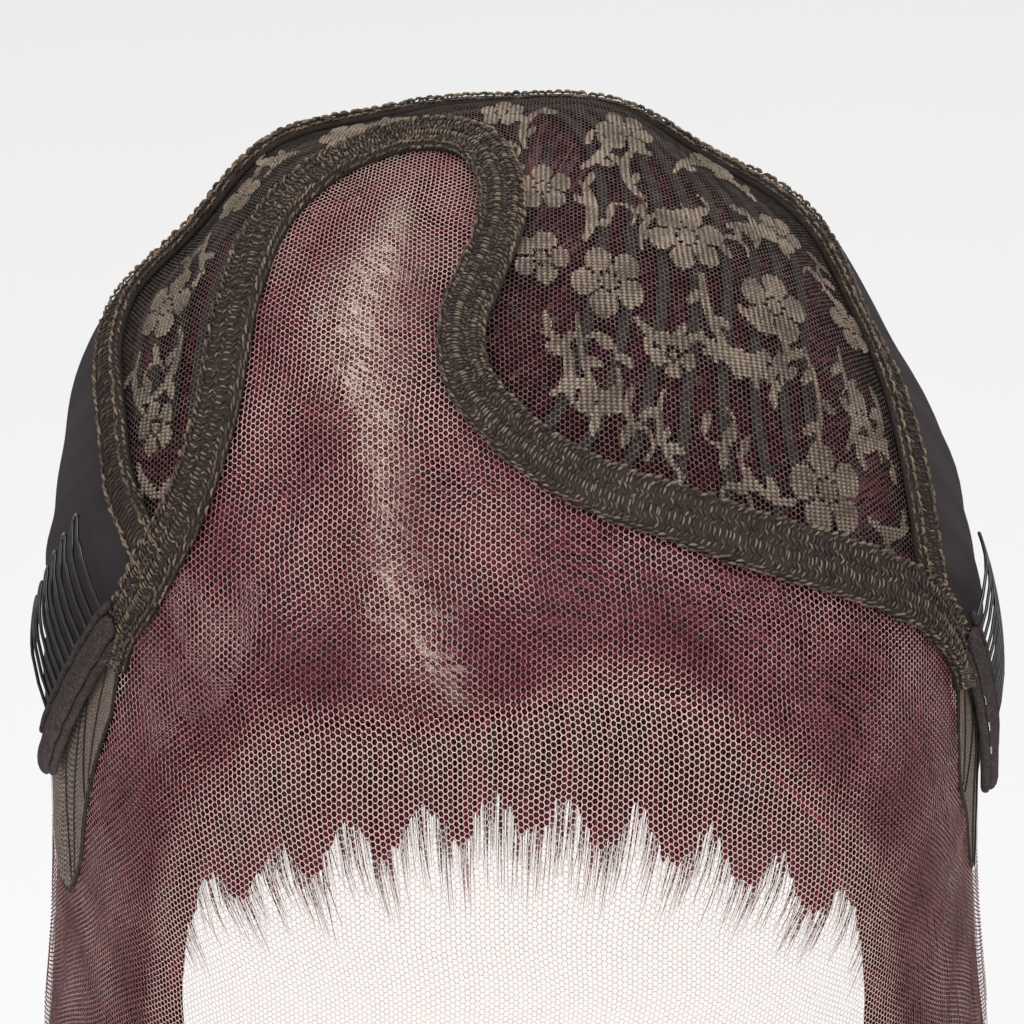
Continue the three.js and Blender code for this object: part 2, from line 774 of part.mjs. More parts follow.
function weftedHair() {
  const round = (s) => THREE.MathUtils.lerp(WEFT_HAIR_ENDS, 1 - WEFT_HAIR_ENDS, s);
  const faces = (s, v, n) => hairFaces(WEFT_HAIR_TOP, lockWave(round(s), BACK_LOCKS), n);
  return shell((s, v) => weftAt(round(s), v), 48, 7, faces);
}

// One row of weft; share says how far it lies from its group's first row to the last
function weft({ first, last }, share) {
  const between = (end, key) => THREE.MathUtils.lerp(first[end][key], last[end][key], share);
  const places = Array.from({ length: 9 }, (_, i) => {
    const t = i / 8;
    const around = THREE.MathUtils.lerp(between("start", "around"), between("end", "around"), t ** WEFT_BEND);
    return weftAt(around, CROWN_SHARE * THREE.MathUtils.lerp(between("start", "up"), between("end", "up"), t));
  });
  return sweep(curveThrough(places), 12, boxSection(WEFT_WIDTH, HAIR_TOP - WEFT_THICKNESS, HAIR_TOP));
}

// The assembly

function mesh(name, geometry, look) {
  const made = new THREE.Mesh(geometry, new THREE.MeshStandardMaterial({ metalness: 0, ...COLOURS[look] }));
  made.name = name;
  return made;
}

const cap = new THREE.Group();
cap.add(
  mesh("lace_front", laceFront(), "front_lace"),
  mesh("crown_lace", crownLace(), "stretch_lace"),
  mesh("back_panel", backPanel(), "panel"),
  mesh("front_trim", frontTrim(), "trim"),
  mesh("crown_tape", crownTape(), "tape"),
);

const combs = new THREE.Group();
for (const temple of [left, right]) {
  cap.add(mesh(`${temple.name}_ear_tab`, earTab(temple), "tab_mesh"));
  combs.add(
    mesh(`${temple.name}_comb_sleeve`, combSleeve(temple), "sleeve"),
    mesh(`${temple.name}_comb`, comb(temple), "comb_wire"),
  );
}

const hair = new THREE.Group();
hair.add(mesh("front_hair", frontHair(), "hair"), mesh("wefted_hair", weftedHair(), "hair"));
for (const group of WEFT_ROWS) {
  for (let i = 0; i < group.count; i++) {
    hair.add(mesh(`${group.name}_weft_${i + 1}`, weft(group, i / (group.count - 1)), "hair"));
  }
}

const wig = new THREE.Group();
wig.add(cap, combs, hair);

export default wig;
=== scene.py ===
"""The looks of a lace front wig that is worn inside out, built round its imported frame.

Lengths are in millimetres in the frame's own axes, and a mesh is turned into metres when it is made.
"""

import bpy
import numpy as np
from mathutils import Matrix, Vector
from mathutils.bvhtree import BVHTree


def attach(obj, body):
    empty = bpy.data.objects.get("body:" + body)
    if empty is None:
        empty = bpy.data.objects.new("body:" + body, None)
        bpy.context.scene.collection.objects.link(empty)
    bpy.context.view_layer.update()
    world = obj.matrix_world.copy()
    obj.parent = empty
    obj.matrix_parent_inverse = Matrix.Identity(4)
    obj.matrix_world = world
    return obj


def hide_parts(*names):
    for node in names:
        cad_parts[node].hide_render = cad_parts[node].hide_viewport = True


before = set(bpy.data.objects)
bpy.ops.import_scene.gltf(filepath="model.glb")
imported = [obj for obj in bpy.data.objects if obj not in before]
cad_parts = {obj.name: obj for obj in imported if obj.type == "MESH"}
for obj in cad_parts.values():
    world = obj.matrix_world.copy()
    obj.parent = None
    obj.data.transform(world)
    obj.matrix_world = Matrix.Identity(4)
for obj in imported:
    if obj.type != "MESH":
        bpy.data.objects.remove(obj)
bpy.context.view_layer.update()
rng = np.random.default_rng(11)
METRE = 0.001


def table(columns, rows):
    """Rows as dictionaries, by the names of their columns."""
    return [dict(zip(columns.split(), row)) for row in rows]


# The head form and the layers, as in the part's source
HALF_WIDTH = 80
HALF_LENGTH = 98
RISE = 95
FULLNESS = 2.35
CROWN_SHIFT = 6
TUCK_DEPTH = 65
SIDE_FLARE = 3.5
NAPE_TUCK = 10
CLOTH = 1
HAIR_TOP = -1.5
WEFT_HAIR_TOP = -2.8
HAIR_THICKNESS = 2.4
LOCK_RELIEF = 1.4
BACK_LOCKS = 16
SIDE_LOCKS = 4
LOCK_POINT = 0.05
PART_SHIFT = 3.4
CROWN_SHARE = 3 / 7
WEFT_HAIR_ENDS = 0.04
TIPS = {"from": -104, "to": -256, "rise": -45}
TAPE_FIRST_SEAM_ROW = 2
FALL_TIP_RISE = -48

# The trim's seam: lean, roll, and the share of the hairline that lies below
SEAM = np.array([
    (-46.2, 33.3, 0.06), (-44.5, 39.5, 0.1), (-40.5, 44.8, 0.15), (-34.4, 53, 0.22), (-30.3, 63.2, 0.28),
    (-28, 78, 0.33), (-24.4, 90, 0.37), (-17.3, 98, 0.41), (-8.6, 101.2, 0.44), (-1.7, 99.3, 0.46),
    (2, 92.6, 0.47), (2.7, 84.8, 0.48), (0.5, 76.7, 0.49), (-1.4, 70.7, 0.5), (-0.6, 64.5, 0.52),
    (4.4, 59, 0.56), (11.5, 54.9, 0.6), (21.5, 52.3, 0.66), (33, 50.2, 0.73), (44.7, 49, 0.79),
    (57.7, 46.5, 0.86), (64.5, 38, 0.9), (65, 29.5, 0.93),
])
# lean and roll
TAPE = np.array([
    (-38.5, 47), (-44.5, 58), (-47, 70), (-49.5, 86), (-48.5, 100), (-42, 110), (-31, 114), (-20, 117),
    (-8, 119), (3, 121), (14, 121), (25, 118), (35, 115), (43, 110), (48.5, 100), (51.5, 90), (54, 75),
    (56, 60), (57.5, 49),
])
HAIRLINE = np.array([
    (-40.3, -14), (-40.3, -2), (-37.7, 10), (-33.3, 18.8), (-28.4, 24.8), (-22, 28.5), (-16, 30),
    (-9.5, 29.2), (-5, 29.7), (1.8, 31.1), (8.5, 32.7), (15.2, 34.8), (21.8, 33.8), (28.4, 29.1),
    (34.3, 24.1), (40.7, 15.8), (45.2, 6.4), (47.7, -8.5), (47, -20),
])
# lean, roll, half width and paleness of the parting
PARTING = np.array([
    (-10.2, 90, 1, 0.3), (-10.8, 85, 2.2, 0.75), (-12.3, 79, 4.4, 1), (-14.2, 71.7, 5.2, 1),
    (-13.3, 64.7, 4, 0.92), (-11.6, 59.4, 3.2, 0.72), (-10.9, 50.4, 3.6, 0.62), (-9.4, 42.9, 5, 0.62),
    (-7, 37.3, 6.5, 0.58), (-1.5, 31.8, 9, 0.4),
])
# bearing and rise
HEM = np.array([
    (90, -3.5), (98, -6), (108, -17), (122, -28), (145, -38), (180, -42), (215, -38), (240, -25),
    (260, -8), (272, 1), (282, 4),
])
TEMPLES = {
    "left": {
        "teeth": -1,
        "tab": [(-51.3, 18.7), (-53.5, 12), (-56.3, 3), (-58.5, -4), (-64, -11), (-76, -12), (-81, -5),
                (-77, 1)],
        "sleeve": [(-52, 28.7), (-58.5, 16.4), (-65.4, 3.7)],
        "fall": [(-90, FALL_TIP_RISE), (-85, -30), (-75, -8), (-64, 8)],
        "inner_fall": [(-38, FALL_TIP_RISE), (-37.5, -32)],
    },
    "right": {
        "teeth": 1,
        "tab": [(66.6, 8.7), (66.2, 3.2), (70, -4), (76, -16), (88, -19), (94, -14), (89, -9.5)],
        "sleeve": [(71.2, 18.2), (74.6, 5.2), (79.9, -7.9)],
        "fall": [(92, FALL_TIP_RISE), (88, -30), (80, -12), (73, 0)],
        "inner_fall": [(44, FALL_TIP_RISE), (46, -34)],
    },
}
# lean, roll, spread and lift as a share of the rise
DENTS = np.array([
    (0, 140, 40, -0.079), (-53, 108, 11, 0.025), (-42, 110, 13, -0.048), (-28, 115, 12, 0.032),
    (-17, 116, 12, -0.011), (-6, 112, 12, 0.034), (14, 113, 13, 0.062), (27, 117, 13, -0.037),
    (40, 120, 13, 0.035), (54, 114, 15, -0.066),
])
# a group's first and last row: around and up at its start, then at its end
WEFT_ROWS = {
    "left": (4, (0.11, 0.2, 0.37, 0.2), (0.11, 0.8, 0.37, 0.8)),
    "right": (8, (0.735, 0.03, 0.42, 0.93), (0.955, 0.03, 0.67, 0.93)),
}
WEFT_BEND = 1.5

# The floral lace, placed on the flat chart below: u to the right and v up, in millimetres
FLOWERS = table("u v r petals turn", [
    (44, 75, 8.4, 6, 12), (26.5, 63, 7.6, 5, 40), (61, 61.5, 7.6, 5, 5), (67, 27.5, 8.2, 5, 25),
    (13, 68, 6, 5, 70), (13.5, 86, 6.6, 5, 20), (38, 49, 4.6, 5, 50), (83, 64, 6.4, 5, 30),
    (69, 84, 6, 5, 60), (33, 105, 7, 6, 0), (58, 108, 6, 5, 35), (3, 112, 5.6, 5, 15),
    (-38, 108, 6.4, 5, 55), (-62, 90, 6.6, 5, 20), (-70.5, 61, 7.4, 5, 0), (-66, 36, 5, 5, 40),
])
# heading and bend in degrees: a stem starts at u, v, and turns by bend over its length
STEMS = table("u v heading bend length width", [
    (46, 67, -100, 55, 22, 2.2), (31, 56, -60, 100, 15, 2.4), (52, 52, -80, 290, 25, 1.8),
    (44, 50, 10, -60, 16, 3.2), (20, 57, -95, 40, 20, 1.6), (14, 41, 20, 150, 15, 2.4),
    (27, 46, -70, -170, 16, 2.2), (29, 34, 80, 120, 13, 2), (36, 43, -120, 80, 17, 1.6),
    (66, 54, -70, -50, 22, 1.7), (76, 57, -100, 70, 26, 1.6), (83, 50, -60, -110, 18, 2.4),
    (72, 35, 40, 70, 14, 1.6), (60, 25, 190, -90, 15, 1.8), (76, 24, -40, 70, 12, 2.2),
    (54, 80, 20, -40, 14, 3), (60, 76, 60, 60, 12, 2.4), (34, 70, 100, -80, 14, 1.6),
    (22, 72, 60, 60, 16, 2.8), (36, 84, 140, -100, 18, 2.4), (22, 92, 30, 60, 16, 2.6),
    (44, 94, 70, -70, 18, 2.2), (66, 94, 110, 60, 16, 2.4), (10, 98, 120, -90, 16, 2.2),
    (-22, 112, 170, 60, 18, 2.6), (-48, 102, 200, -60, 16, 2.4), (-66, 80, -90, 40, 14, 2),
    (-64, 55, -60, -110, 18, 2), (-75, 52, -100, 70, 16, 1.8), (-70, 30, -70, 60, 10, 2.2),
    (57, 72, 60, 230, 13, 1.1), (72, 72, 100, -240, 12, 1.1), (31, 76, 20, 220, 12, 1.1),
    (20, 49, 80, -200, 12, 1.1), (30, 30, 10, 220, 12, 1.2), (47, 40, -30, -230, 14, 1.1),
    (58, 44, 30, 250, 14, 1.2), (74, 46, 60, -220, 12, 1.1), (50, 22, 60, 200, 11, 1.2),
    (82, 34, 80, 200, 12, 1.1), (84, 78, 120, 220, 12, 1.2), (48, 88, -20, -230, 13, 1.2),
    (2, 96, -60, 220, 12, 1.2), (26, 98, 0, 240, 12, 1.2), (10, 76, 200, 200, 10, 1.1),
    (-56, 94, 30, 200, 11, 1.3), (-74, 72, 60, -200, 11, 1.2), (-30, 112, -160, 180, 12, 1.4),
    (-66, 46, 100, 200, 10, 1.2),
])


# Directions and places on the head

def over_head(lean, roll):
    lean, roll = np.radians(lean), np.radians(roll)
    return np.stack([np.sin(lean), -np.cos(lean) * np.cos(roll), np.cos(lean) * np.sin(roll)], axis=-1)


def round_head(bearing, rise):
    bearing, rise = np.radians(bearing), np.radians(rise)
    flat = np.cos(rise)
    return np.stack([flat * np.sin(bearing), -flat * np.cos(bearing), np.sin(rise)], axis=-1)


def unit(vectors):
    return vectors / np.maximum(np.linalg.norm(vectors, axis=-1, keepdims=True), 1e-9)


dents_at = over_head(DENTS[:, 0], DENTS[:, 1])


def fullness(a, b):
    """How far out a rounded square of half width 1 lies in the direction (a, b)."""
    return (np.abs(a) ** FULLNESS + np.abs(b) ** FULLNESS) ** (-1 / FULLNESS)


def on_head(directions, height=0.0):
    """The points at a height over the head form, in directions from its middle."""
    n = unit(directions)
    away = np.degrees(np.arccos(np.clip(n @ dents_at.T, -1, 1))) / DENTS[:, 2]
    up = height + (DENTS[:, 3] * RISE * np.exp(-away * away)).sum(axis=-1)
    x, y, z = n[..., 0], n[..., 1], n[..., 2]
    reach = fullness(x, np.hypot(y, z))
    top = (RISE + up) * reach * z
    shift = CROWN_SHIFT * np.clip(top / RISE, 0, None) ** 1.5
    upper = np.stack([(HALF_WIDTH + up) * reach * x - shift, (HALF_LENGTH + up) * reach * y, top], axis=-1)
    flat = np.maximum(np.hypot(x, y), 1e-9)
    side, ahead = x / flat, y / flat
    reach = fullness(side, ahead)
    low = RISE * reach * z / flat
    depth = np.minimum(np.clip(-low, 0, None) / TUCK_DEPTH, 1.6) ** 2
    tuck = np.where(ahead > 0, NAPE_TUCK * depth, 0)
    across = (HALF_WIDTH + up + SIDE_FLARE * depth) * reach * side
    lower = np.stack([across, (HALF_LENGTH + up - tuck) * reach * ahead, low], axis=-1)
    return np.where((z >= 0)[..., None], upper, lower)


class Curve:
    """A centripetal Catmull-Rom curve through directions."""

    def __init__(self, points):
        p = np.asarray(points, float)
        self.last = len(p) - 1
        self.points = np.vstack([2 * p[0] - p[1], p, 2 * p[-1] - p[-2]])

    def at(self, t):
        place = np.clip(np.asarray(t, float), 0, 1) * self.last
        i = np.minimum(place.astype(int), self.last - 1)
        w = (place - i)[..., None]
        p0, p1, p2, p3 = (self.points[i + k] for k in range(4))
        d0, d1, d2 = (np.sqrt(np.linalg.norm(b - a, axis=-1, keepdims=True))
                      for a, b in ((p0, p1), (p1, p2), (p2, p3)))
        start = d1 * ((p1 - p0) / d0 - (p2 - p0) / (d0 + d1) + (p2 - p1) / d1)
        end = d1 * ((p2 - p1) / d1 - (p3 - p1) / (d1 + d2) + (p3 - p2) / d2)
        return (p1 + start * w + (3 * (p2 - p1) - 2 * start - end) * w ** 2
                + (2 * (p1 - p2) + start + end) * w ** 3)

    def beside(self, t, distance):
        """Directions at t along the curve, moved sideways by a distance; left of a walker is positive."""
        step = 0.004
        n = unit(self.at(t))
        ahead = self.at(np.minimum(t + step, 1)) - self.at(np.maximum(t - step, 0))
        side = unit(np.cross(n, ahead))
        size = np.linalg.norm(on_head(n), axis=-1)
        return unit(n + side * (distance / size)[..., None])

    def length(self):
        points = on_head(self.at(np.linspace(0, 1, 200)))
        return np.linalg.norm(np.diff(points, axis=0), axis=1).sum()


def bearings(rows):
    rows = np.array(rows, float)
    return round_head(rows[:, 0], rows[:, 1])


seam, tape, hairline, parting = (
    Curve(over_head(rows[:, 0], rows[:, 1])) for rows in (SEAM, TAPE, HAIRLINE, PARTING))
hem = Curve(bearings(HEM))


# A flat chart of the head, in millimetres round the middle of the net

CHART_RADIUS = 93
CHART_ROLL = 38
chart_middle = over_head(0, CHART_ROLL)
chart_right = np.array([1.0, 0, 0])
chart_up = np.cross(chart_middle, chart_right)


def from_chart(u, v):
    far = np.maximum(np.hypot(u, v), 1e-9)
    angle = far / CHART_RADIUS
    outward = (chart_right * (u / far)[..., None]) + (chart_up * (v / far)[..., None])
    return chart_middle * np.cos(angle)[..., None] + outward * np.sin(angle)[..., None]


def to_chart(n):
    n = unit(n)
    ahead = np.clip(n @ chart_middle, -1, 1)
    rest = unit(n - chart_middle * ahead[..., None])
    angle = np.arccos(ahead) * CHART_RADIUS
    return angle * (rest @ chart_right), angle * (rest @ chart_up)


depsgraph = bpy.context.evaluated_depsgraph_get()
trees = {name: BVHTree.FromObject(node, depsgraph) for name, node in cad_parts.items()}


def over(name, directions, reach=7.0):
    """Which directions pass through a node of the frame."""
    starts = on_head(directions, reach) * METRE
    ends = on_head(directions, -reach) * METRE
    ways = unit(ends - starts)
    tree = trees[name]
    far = 2.5 * reach * METRE
    return np.array([tree.ray_cast(Vector(a), Vector(d), far)[0] is not None for a, d in zip(starts, ways)])


# Meshes

def between(upper, lower, v):
    return upper * (1 - v[..., None]) + lower * v[..., None]


def add_piece(name, points, faces, material, slot, replaces=(), uv=None, tones=None):
    """A mesh from points in millimetres and lists of three- or four-cornered faces."""
    faces = [np.asarray(f) for f in faces if len(f)]
    used = np.unique(np.concatenate([f.ravel() for f in faces]))
    renumber = np.zeros(len(points), int)
    renumber[used] = np.arange(len(used))
    loops = np.concatenate([renumber[f].ravel() for f in faces])
    totals = np.concatenate([np.full(len(f), f.shape[1]) for f in faces])
    mesh = bpy.data.meshes.new(name)
    mesh.vertices.add(len(used))
    mesh.vertices.foreach_set("co", (points[used] * METRE).ravel())
    mesh.loops.add(len(loops))
    mesh.loops.foreach_set("vertex_index", loops)
    mesh.polygons.add(len(totals))
    mesh.polygons.foreach_set("loop_start", np.concatenate([[0], np.cumsum(totals)[:-1]]))
    mesh.polygons.foreach_set("use_smooth", np.full(len(totals), True))
    mesh.update(calc_edges=True)
    if uv is not None:
        layer = mesh.uv_layers.new(name="UVMap")
        layer.data.foreach_set("uv", uv[used][loops].ravel())
    if tones is not None:
        layer = mesh.attributes.new("tone", "FLOAT", "POINT")
        layer.data.foreach_set("value", tones[used].astype(np.float32))
    mesh.materials.append(material)
    piece = bpy.data.objects.new(name, mesh)
    bpy.context.scene.collection.objects.link(piece)
    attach(piece, "root")
    if replaces:
        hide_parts(*replaces)
    return piece


def joined(parts):
    """Points, faces and tones of several parts as one."""
    points, faces, tones, start = [], [], [], 0
    for part_points, part_faces, part_tones in parts:
        points.append(part_points)
        tones.append(part_tones)
        faces += [f + start for f in part_faces if len(f)]
        start += len(part_points)
    return np.concatenate(points), faces, np.concatenate(tones)


def add_parts(name, parts, material, slot, replaces=()):
    """A mesh from one set of points, faces and tones."""
    points, faces, tones = parts
    return add_piece(name, points, faces, material, slot, replaces, tones=tones)


def tubes(paths, up, section, closed=True, scale=None, tone=None):
    """Sections of [across, up] swept along many paths of equal length."""
    count, places, _ = paths.shape
    ahead = np.gradient(paths, axis=1)
    across = unit(np.cross(ahead, up))
    risen = unit(np.cross(across, ahead))
    section = np.asarray(section, float)
    scale = np.ones((count, places)) if scale is None else np.broadcast_to(scale, (count, places))
    rings = (paths[:, :, None] + across[:, :, None] * section[:, 0, None] * scale[..., None, None]
             + risen[:, :, None] * section[:, 1, None] * scale[..., None, None])
    corners = len(section)
    index = np.arange(count * places * corners).reshape(count, places, corners)
    here, after = index[:, :-1], index[:, 1:]
    if closed:
        turned = np.roll(here, -1, axis=2), np.roll(after, -1, axis=2)
        quads = np.stack([here, after, turned[1], turned[0]], axis=-1)
    else:
        quads = np.stack([here[..., :-1], after[..., :-1], after[..., 1:], here[..., 1:]], axis=-1)
    faces = [quads.reshape(-1, 4)]
    if closed and corners == 4:
        faces.append(index[:, 0])
        faces.append(index[:, -1][:, ::-1])
    if tone is None:
        tone = rng.random(count)
    tones = np.repeat(tone, places * corners)
    return rings.reshape(-1, 3), faces, tones


def round_section(radius, sides, flat=1.0):
    turn = np.arange(sides) * 2 * np.pi / sides
    return np.stack([radius * np.cos(turn), -radius * flat * np.sin(turn)], axis=1)


def grid_faces(rows, columns, start=0):
    index = start + np.arange(rows * columns).reshape(rows, columns)
    corners = index[:-1, :-1], index[1:, :-1], index[1:, 1:], index[:-1, 1:]
    return np.stack(corners, axis=-1).reshape(-1, 4)


def shell(at, across, down, heights):
    """A closed skin over a grid of directions: points, faces and the grid's s and v."""
    s, v = np.meshgrid(np.linspace(0, 1, across + 1), np.linspace(0, 1, down + 1))
    n = at(s, v)
    high, low = heights(s, v, unit(n))
    points = np.concatenate([on_head(n, high).reshape(-1, 3), on_head(n, low).reshape(-1, 3)])
    rows, columns = s.shape
    outer = np.arange(rows * columns).reshape(rows, columns)
    inner = outer + rows * columns
    faces = [grid_faces(rows, columns), grid_faces(rows, columns, rows * columns)[:, ::-1]]
    for a, b in ((outer[0], inner[0]), (outer[:, -1], inner[:, -1]), (outer[-1][::-1], inner[-1][::-1]),
                 (outer[:, 0][::-1], inner[:, 0][::-1])):
        faces.append(np.stack([a[:-1], a[1:], b[1:], b[:-1]], axis=-1))
    first = points[faces[0]]
    normal = np.cross(first[:, 1] - first[:, 0], first[:, 2] - first[:, 0])
    if (normal * first.mean(axis=1)).sum() < 0:
        faces = [f[:, ::-1] for f in faces]
    return points, faces, np.tile(s.ravel(), 2), np.tile(v.ravel(), 2)


# Materials

def linear(red, green, blue):
    c = np.array([red, green, blue]) / 255
    return (*np.where(c <= 0.04045, c / 12.92, ((c + 0.055) / 1.055) ** 2.4), 1.0)


class Look:
    """A procedural material, with its nodes added one by one."""

    def __init__(self, name, roughness, specular):
        self.material = bpy.data.materials.new(name)
        self.material.use_nodes = True
        self.tree = self.material.node_tree
        self.shader = self.tree.nodes["Principled BSDF"]
        self.shader.inputs["Roughness"].default_value = roughness
        self.shader.inputs["Specular IOR Level"].default_value = specular

    def node(self, kind, links=(), **values):
        made = self.tree.nodes.new(kind)
        for key, value in values.items():
            if hasattr(made, key):
                setattr(made, key, value)
            else:
                made.inputs[key.replace("_", " ")].default_value = value
        for socket, source in dict(links).items():
            self.tree.links.new(source, made.inputs[socket])
        return made

    def place(self, stretch=(1, 1, 1), mapped=False):
        source = self.node("ShaderNodeTexCoord").outputs["UV" if mapped else "Object"]
        mapping = self.node("ShaderNodeMapping", {"Vector": source})
        mapping.inputs["Scale"].default_value = stretch
        return mapping.outputs["Vector"]

    def noise(self, scale, detail=4.0, at=None):
        at = at or self.place()
        return self.node("ShaderNodeTexNoise", {"Vector": at}, Scale=scale, Detail=detail).outputs["Fac"]

    def wave(self, scale, direction, distortion):
        """Bands across the mesh's own U or V, in metres; their spacing is 0.314 / scale."""
        bands = {"Scale": scale, "Distortion": distortion, "bands_direction": direction}
        return self.node("ShaderNodeTexWave", {"Vector": self.place(mapped=True)}, **bands).outputs["Fac"]

    def tone(self):
        return self.node("ShaderNodeAttribute", attribute_name="tone").outputs["Fac"]

    def sum(self, a, b, share):
        scaled = self.node("ShaderNodeMath", {0: b}, operation="MULTIPLY")
        scaled.inputs[1].default_value = share
        return self.node("ShaderNodeMath", {0: a, 1: scaled.outputs[0]}, operation="ADD").outputs[0]

    def colour(self, factor, stops):
        ramp = self.node("ShaderNodeValToRGB", {"Fac": factor})
        elements = ramp.color_ramp.elements
        while len(elements) < len(stops):
            elements.new(0.5)
        for element, (position, colour) in zip(elements, stops):
            element.position = position
            element.color = linear(*colour)
        self.tree.links.new(ramp.outputs["Color"], self.shader.inputs["Base Color"])
        return self

    def bump(self, height, distance, strength=1.0):
        bump = self.node("ShaderNodeBump", {"Height": height}, Strength=strength, Distance=distance)
        self.tree.links.new(bump.outputs["Normal"], self.shader.inputs["Normal"])
        return self


def thread_look(name, stops, roughness=0.75, scale=1400, specular=0.12):
    """Threads that differ in tone from one to the next, and a little along each."""
    look = Look(name, roughness, specular)
    fine = look.noise(scale)
    look.colour(look.sum(look.tone(), fine, 0.35), stops)
    look.bump(fine, 0.0002, 0.6)
    return look.material


front_net_look = thread_look("front_net", [
    (0.1, (192, 178, 160)), (0.4, (182, 150, 142)), (0.7, (142, 102, 101)), (1.0, (100, 64, 67))])
brow_net_look = thread_look("brow_net", [
    (0.1, (192, 174, 160)), (0.4, (180, 156, 146)), (1.0, (150, 106, 104))])
doubled_look = thread_look("doubled_net", [(0.1, (128, 98, 98)), (0.5, (104, 78, 80)), (1.0, (82, 58, 62))])
knot_look = thread_look("knots", [(0.1, (44, 12, 18)), (0.6, (78, 24, 34)), (1.0, (108, 42, 52))], 0.6)
crown_net_look = thread_look("crown_net", [
    (0.1, (52, 45, 43)), (0.6, (78, 69, 65)), (1.0, (110, 100, 93))])
motif_look = thread_look("motifs", [
    (0.1, (52, 45, 41)), (0.55, (97, 86, 77)), (1.0, (147, 132, 117))], 0.7)
trim_look = thread_look("trim_stitches", [
    (0.1, (42, 36, 34)), (0.45, (68, 60, 55)), (0.75, (88, 77, 68)), (1.0, (120, 104, 88))], 0.9)
trim_base_look = thread_look("trim_base", [
    (0.1, (32, 28, 27)), (0.6, (54, 47, 44)), (1.0, (76, 67, 61))], 0.95)
tape_look = thread_look("tape_stitches", [
    (0.1, (46, 40, 37)), (0.6, (78, 68, 60)), (1.0, (120, 103, 86))], 0.8)
hair_look = thread_look("hair_strands", [
    (0.1, (22, 6, 10)), (0.5, (42, 11, 19)), (0.85, (66, 19, 31)), (1.0, (90, 30, 43))], 0.5, 600, 0.2)
weft_look = thread_look("wefts", [(0.1, (24, 19, 19)), (0.6, (42, 36, 34)), (1.0, (62, 53, 50))], 0.9)


# The net of the front, its knots and the fine hairs at the hairline

AT_ONCE = 2000


def distances(points, others):
    """The distances from points to the others, for so many points at once."""
    for first in range(0, len(points), AT_ONCE):
        yield np.linalg.norm(points[first:first + AT_ONCE, None] - others[None], axis=-1)


def nearest(points, others):
    """The distance from each point to the nearest of the others."""
    return np.concatenate([away.min(axis=1) for away in distances(points, others)])


hairline_points = on_head(hairline.at(np.linspace(0, 1, 240)))
parting_share = np.linspace(0, 1, 80)
parting_points = on_head(parting.at(parting_share))
parting_rows = np.linspace(0, 1, len(PARTING))
parting_width = np.interp(parting_share, parting_rows, PARTING[:, 2])
parting_tone = np.interp(parting_share, parting_rows, PARTING[:, 3])
PARTING_SPREAD = 1.15
HAIRLINE_SPREAD = 4.2


def in_parting(directions):
    """How pale the hair is in and beside the parting, and 0 away from it."""
    pale = []
    for away in distances(on_head(directions), parting_points):
        away = away / parting_width
        tone = parting_tone[away.argmin(axis=1)]
        pale.append(np.exp(-(away.min(axis=1) / PARTING_SPREAD) ** 2) * tone)
    return np.concatenate(pale)


def paleness(directions):
    """1 where no hair shows behind the net, in the parting and at the hairline, and 0 in full hair."""
    edge = nearest(on_head(directions), hairline_points) / HAIRLINE_SPREAD
    return np.maximum(in_parting(directions), np.exp(-edge ** 2))


def hexagons(side, reach, inside):
    """Middles of a net's cells on the chart, where inside says so, and each one's neighbours."""
    columns = int(reach / (1.5 * side))
    rows = int(reach / (np.sqrt(3) * side))
    i, j = np.meshgrid(np.arange(-columns, columns + 1), np.arange(-rows, rows + 1), indexing="ij")
    u = 1.5 * side * i
    v = np.sqrt(3) * side * (j + 0.5 * (i % 2))
    near = np.hypot(u, v) < reach
    kept = np.zeros(i.shape, bool)
    kept[near] = inside(from_chart(u[near], v[near]))
    number = np.full(i.shape, -1)
    number[kept] = np.arange(kept.sum())
    padded = np.pad(number, 1, constant_values=-1)
    a, b = np.nonzero(kept)
    odd = i[kept] % 2
    top = padded[a + 1, b + 2]
    upper_right = padded[a + 2, b + 1 + odd]
    lower_right = padded[a + 2, b + odd]
    return u[kept], v[kept], top, upper_right, lower_right


def net(inside, side, thread, reach, height, wobble):
    """A sheet of hexagonal net as joined flat threads. Also gives the middles of the cells."""
    u, v, top, upper_right, lower_right = hexagons(side, reach, inside)
    hole = (side * np.sqrt(3) / 2 - thread / 2) * 2 / np.sqrt(3)
    turn = np.radians(np.arange(6) * 60)
    corner_u = u[:, None] + hole * np.cos(turn)
    corner_v = v[:, None] + hole * np.sin(turn)
    shift_u = wobble * (np.sin(corner_v * 0.31) + np.sin(corner_u * 0.17 + corner_v * 0.09))
    shift_v = wobble * (np.sin(corner_u * 0.27) + np.sin(corner_v * 0.13 - corner_u * 0.11))
    shift_u += rng.normal(0, 0.035 * side, shift_u.shape)
    shift_v += rng.normal(0, 0.035 * side, shift_v.shape)
    n = from_chart(corner_u + shift_u, corner_v + shift_v)
    points = on_head(n, height).reshape(-1, 3)
    me = np.arange(len(u)) * 6
    faces = []
    threads = (top, (1, 2), (5, 4)), (upper_right, (0, 1), (4, 3)), (lower_right, (5, 0), (3, 2))
    for other, mine, theirs in threads:
        k = np.nonzero(other >= 0)[0]
        far = other[k] * 6
        corners = me[k] + mine[0], far + theirs[0], far + theirs[1], me[k] + mine[1]
        faces.append(np.stack(corners, axis=-1))
    k = np.nonzero((upper_right >= 0) & (lower_right >= 0))[0]
    faces.append(np.stack([me[k], lower_right[k] * 6 + 2, upper_right[k] * 6 + 4], axis=-1))
    k = np.nonzero((upper_right >= 0) & (top >= 0))[0]
    faces.append(np.stack([me[k] + 1, upper_right[k] * 6 + 3, top[k] * 6 + 5], axis=-1))
    return points, faces, u, v, top


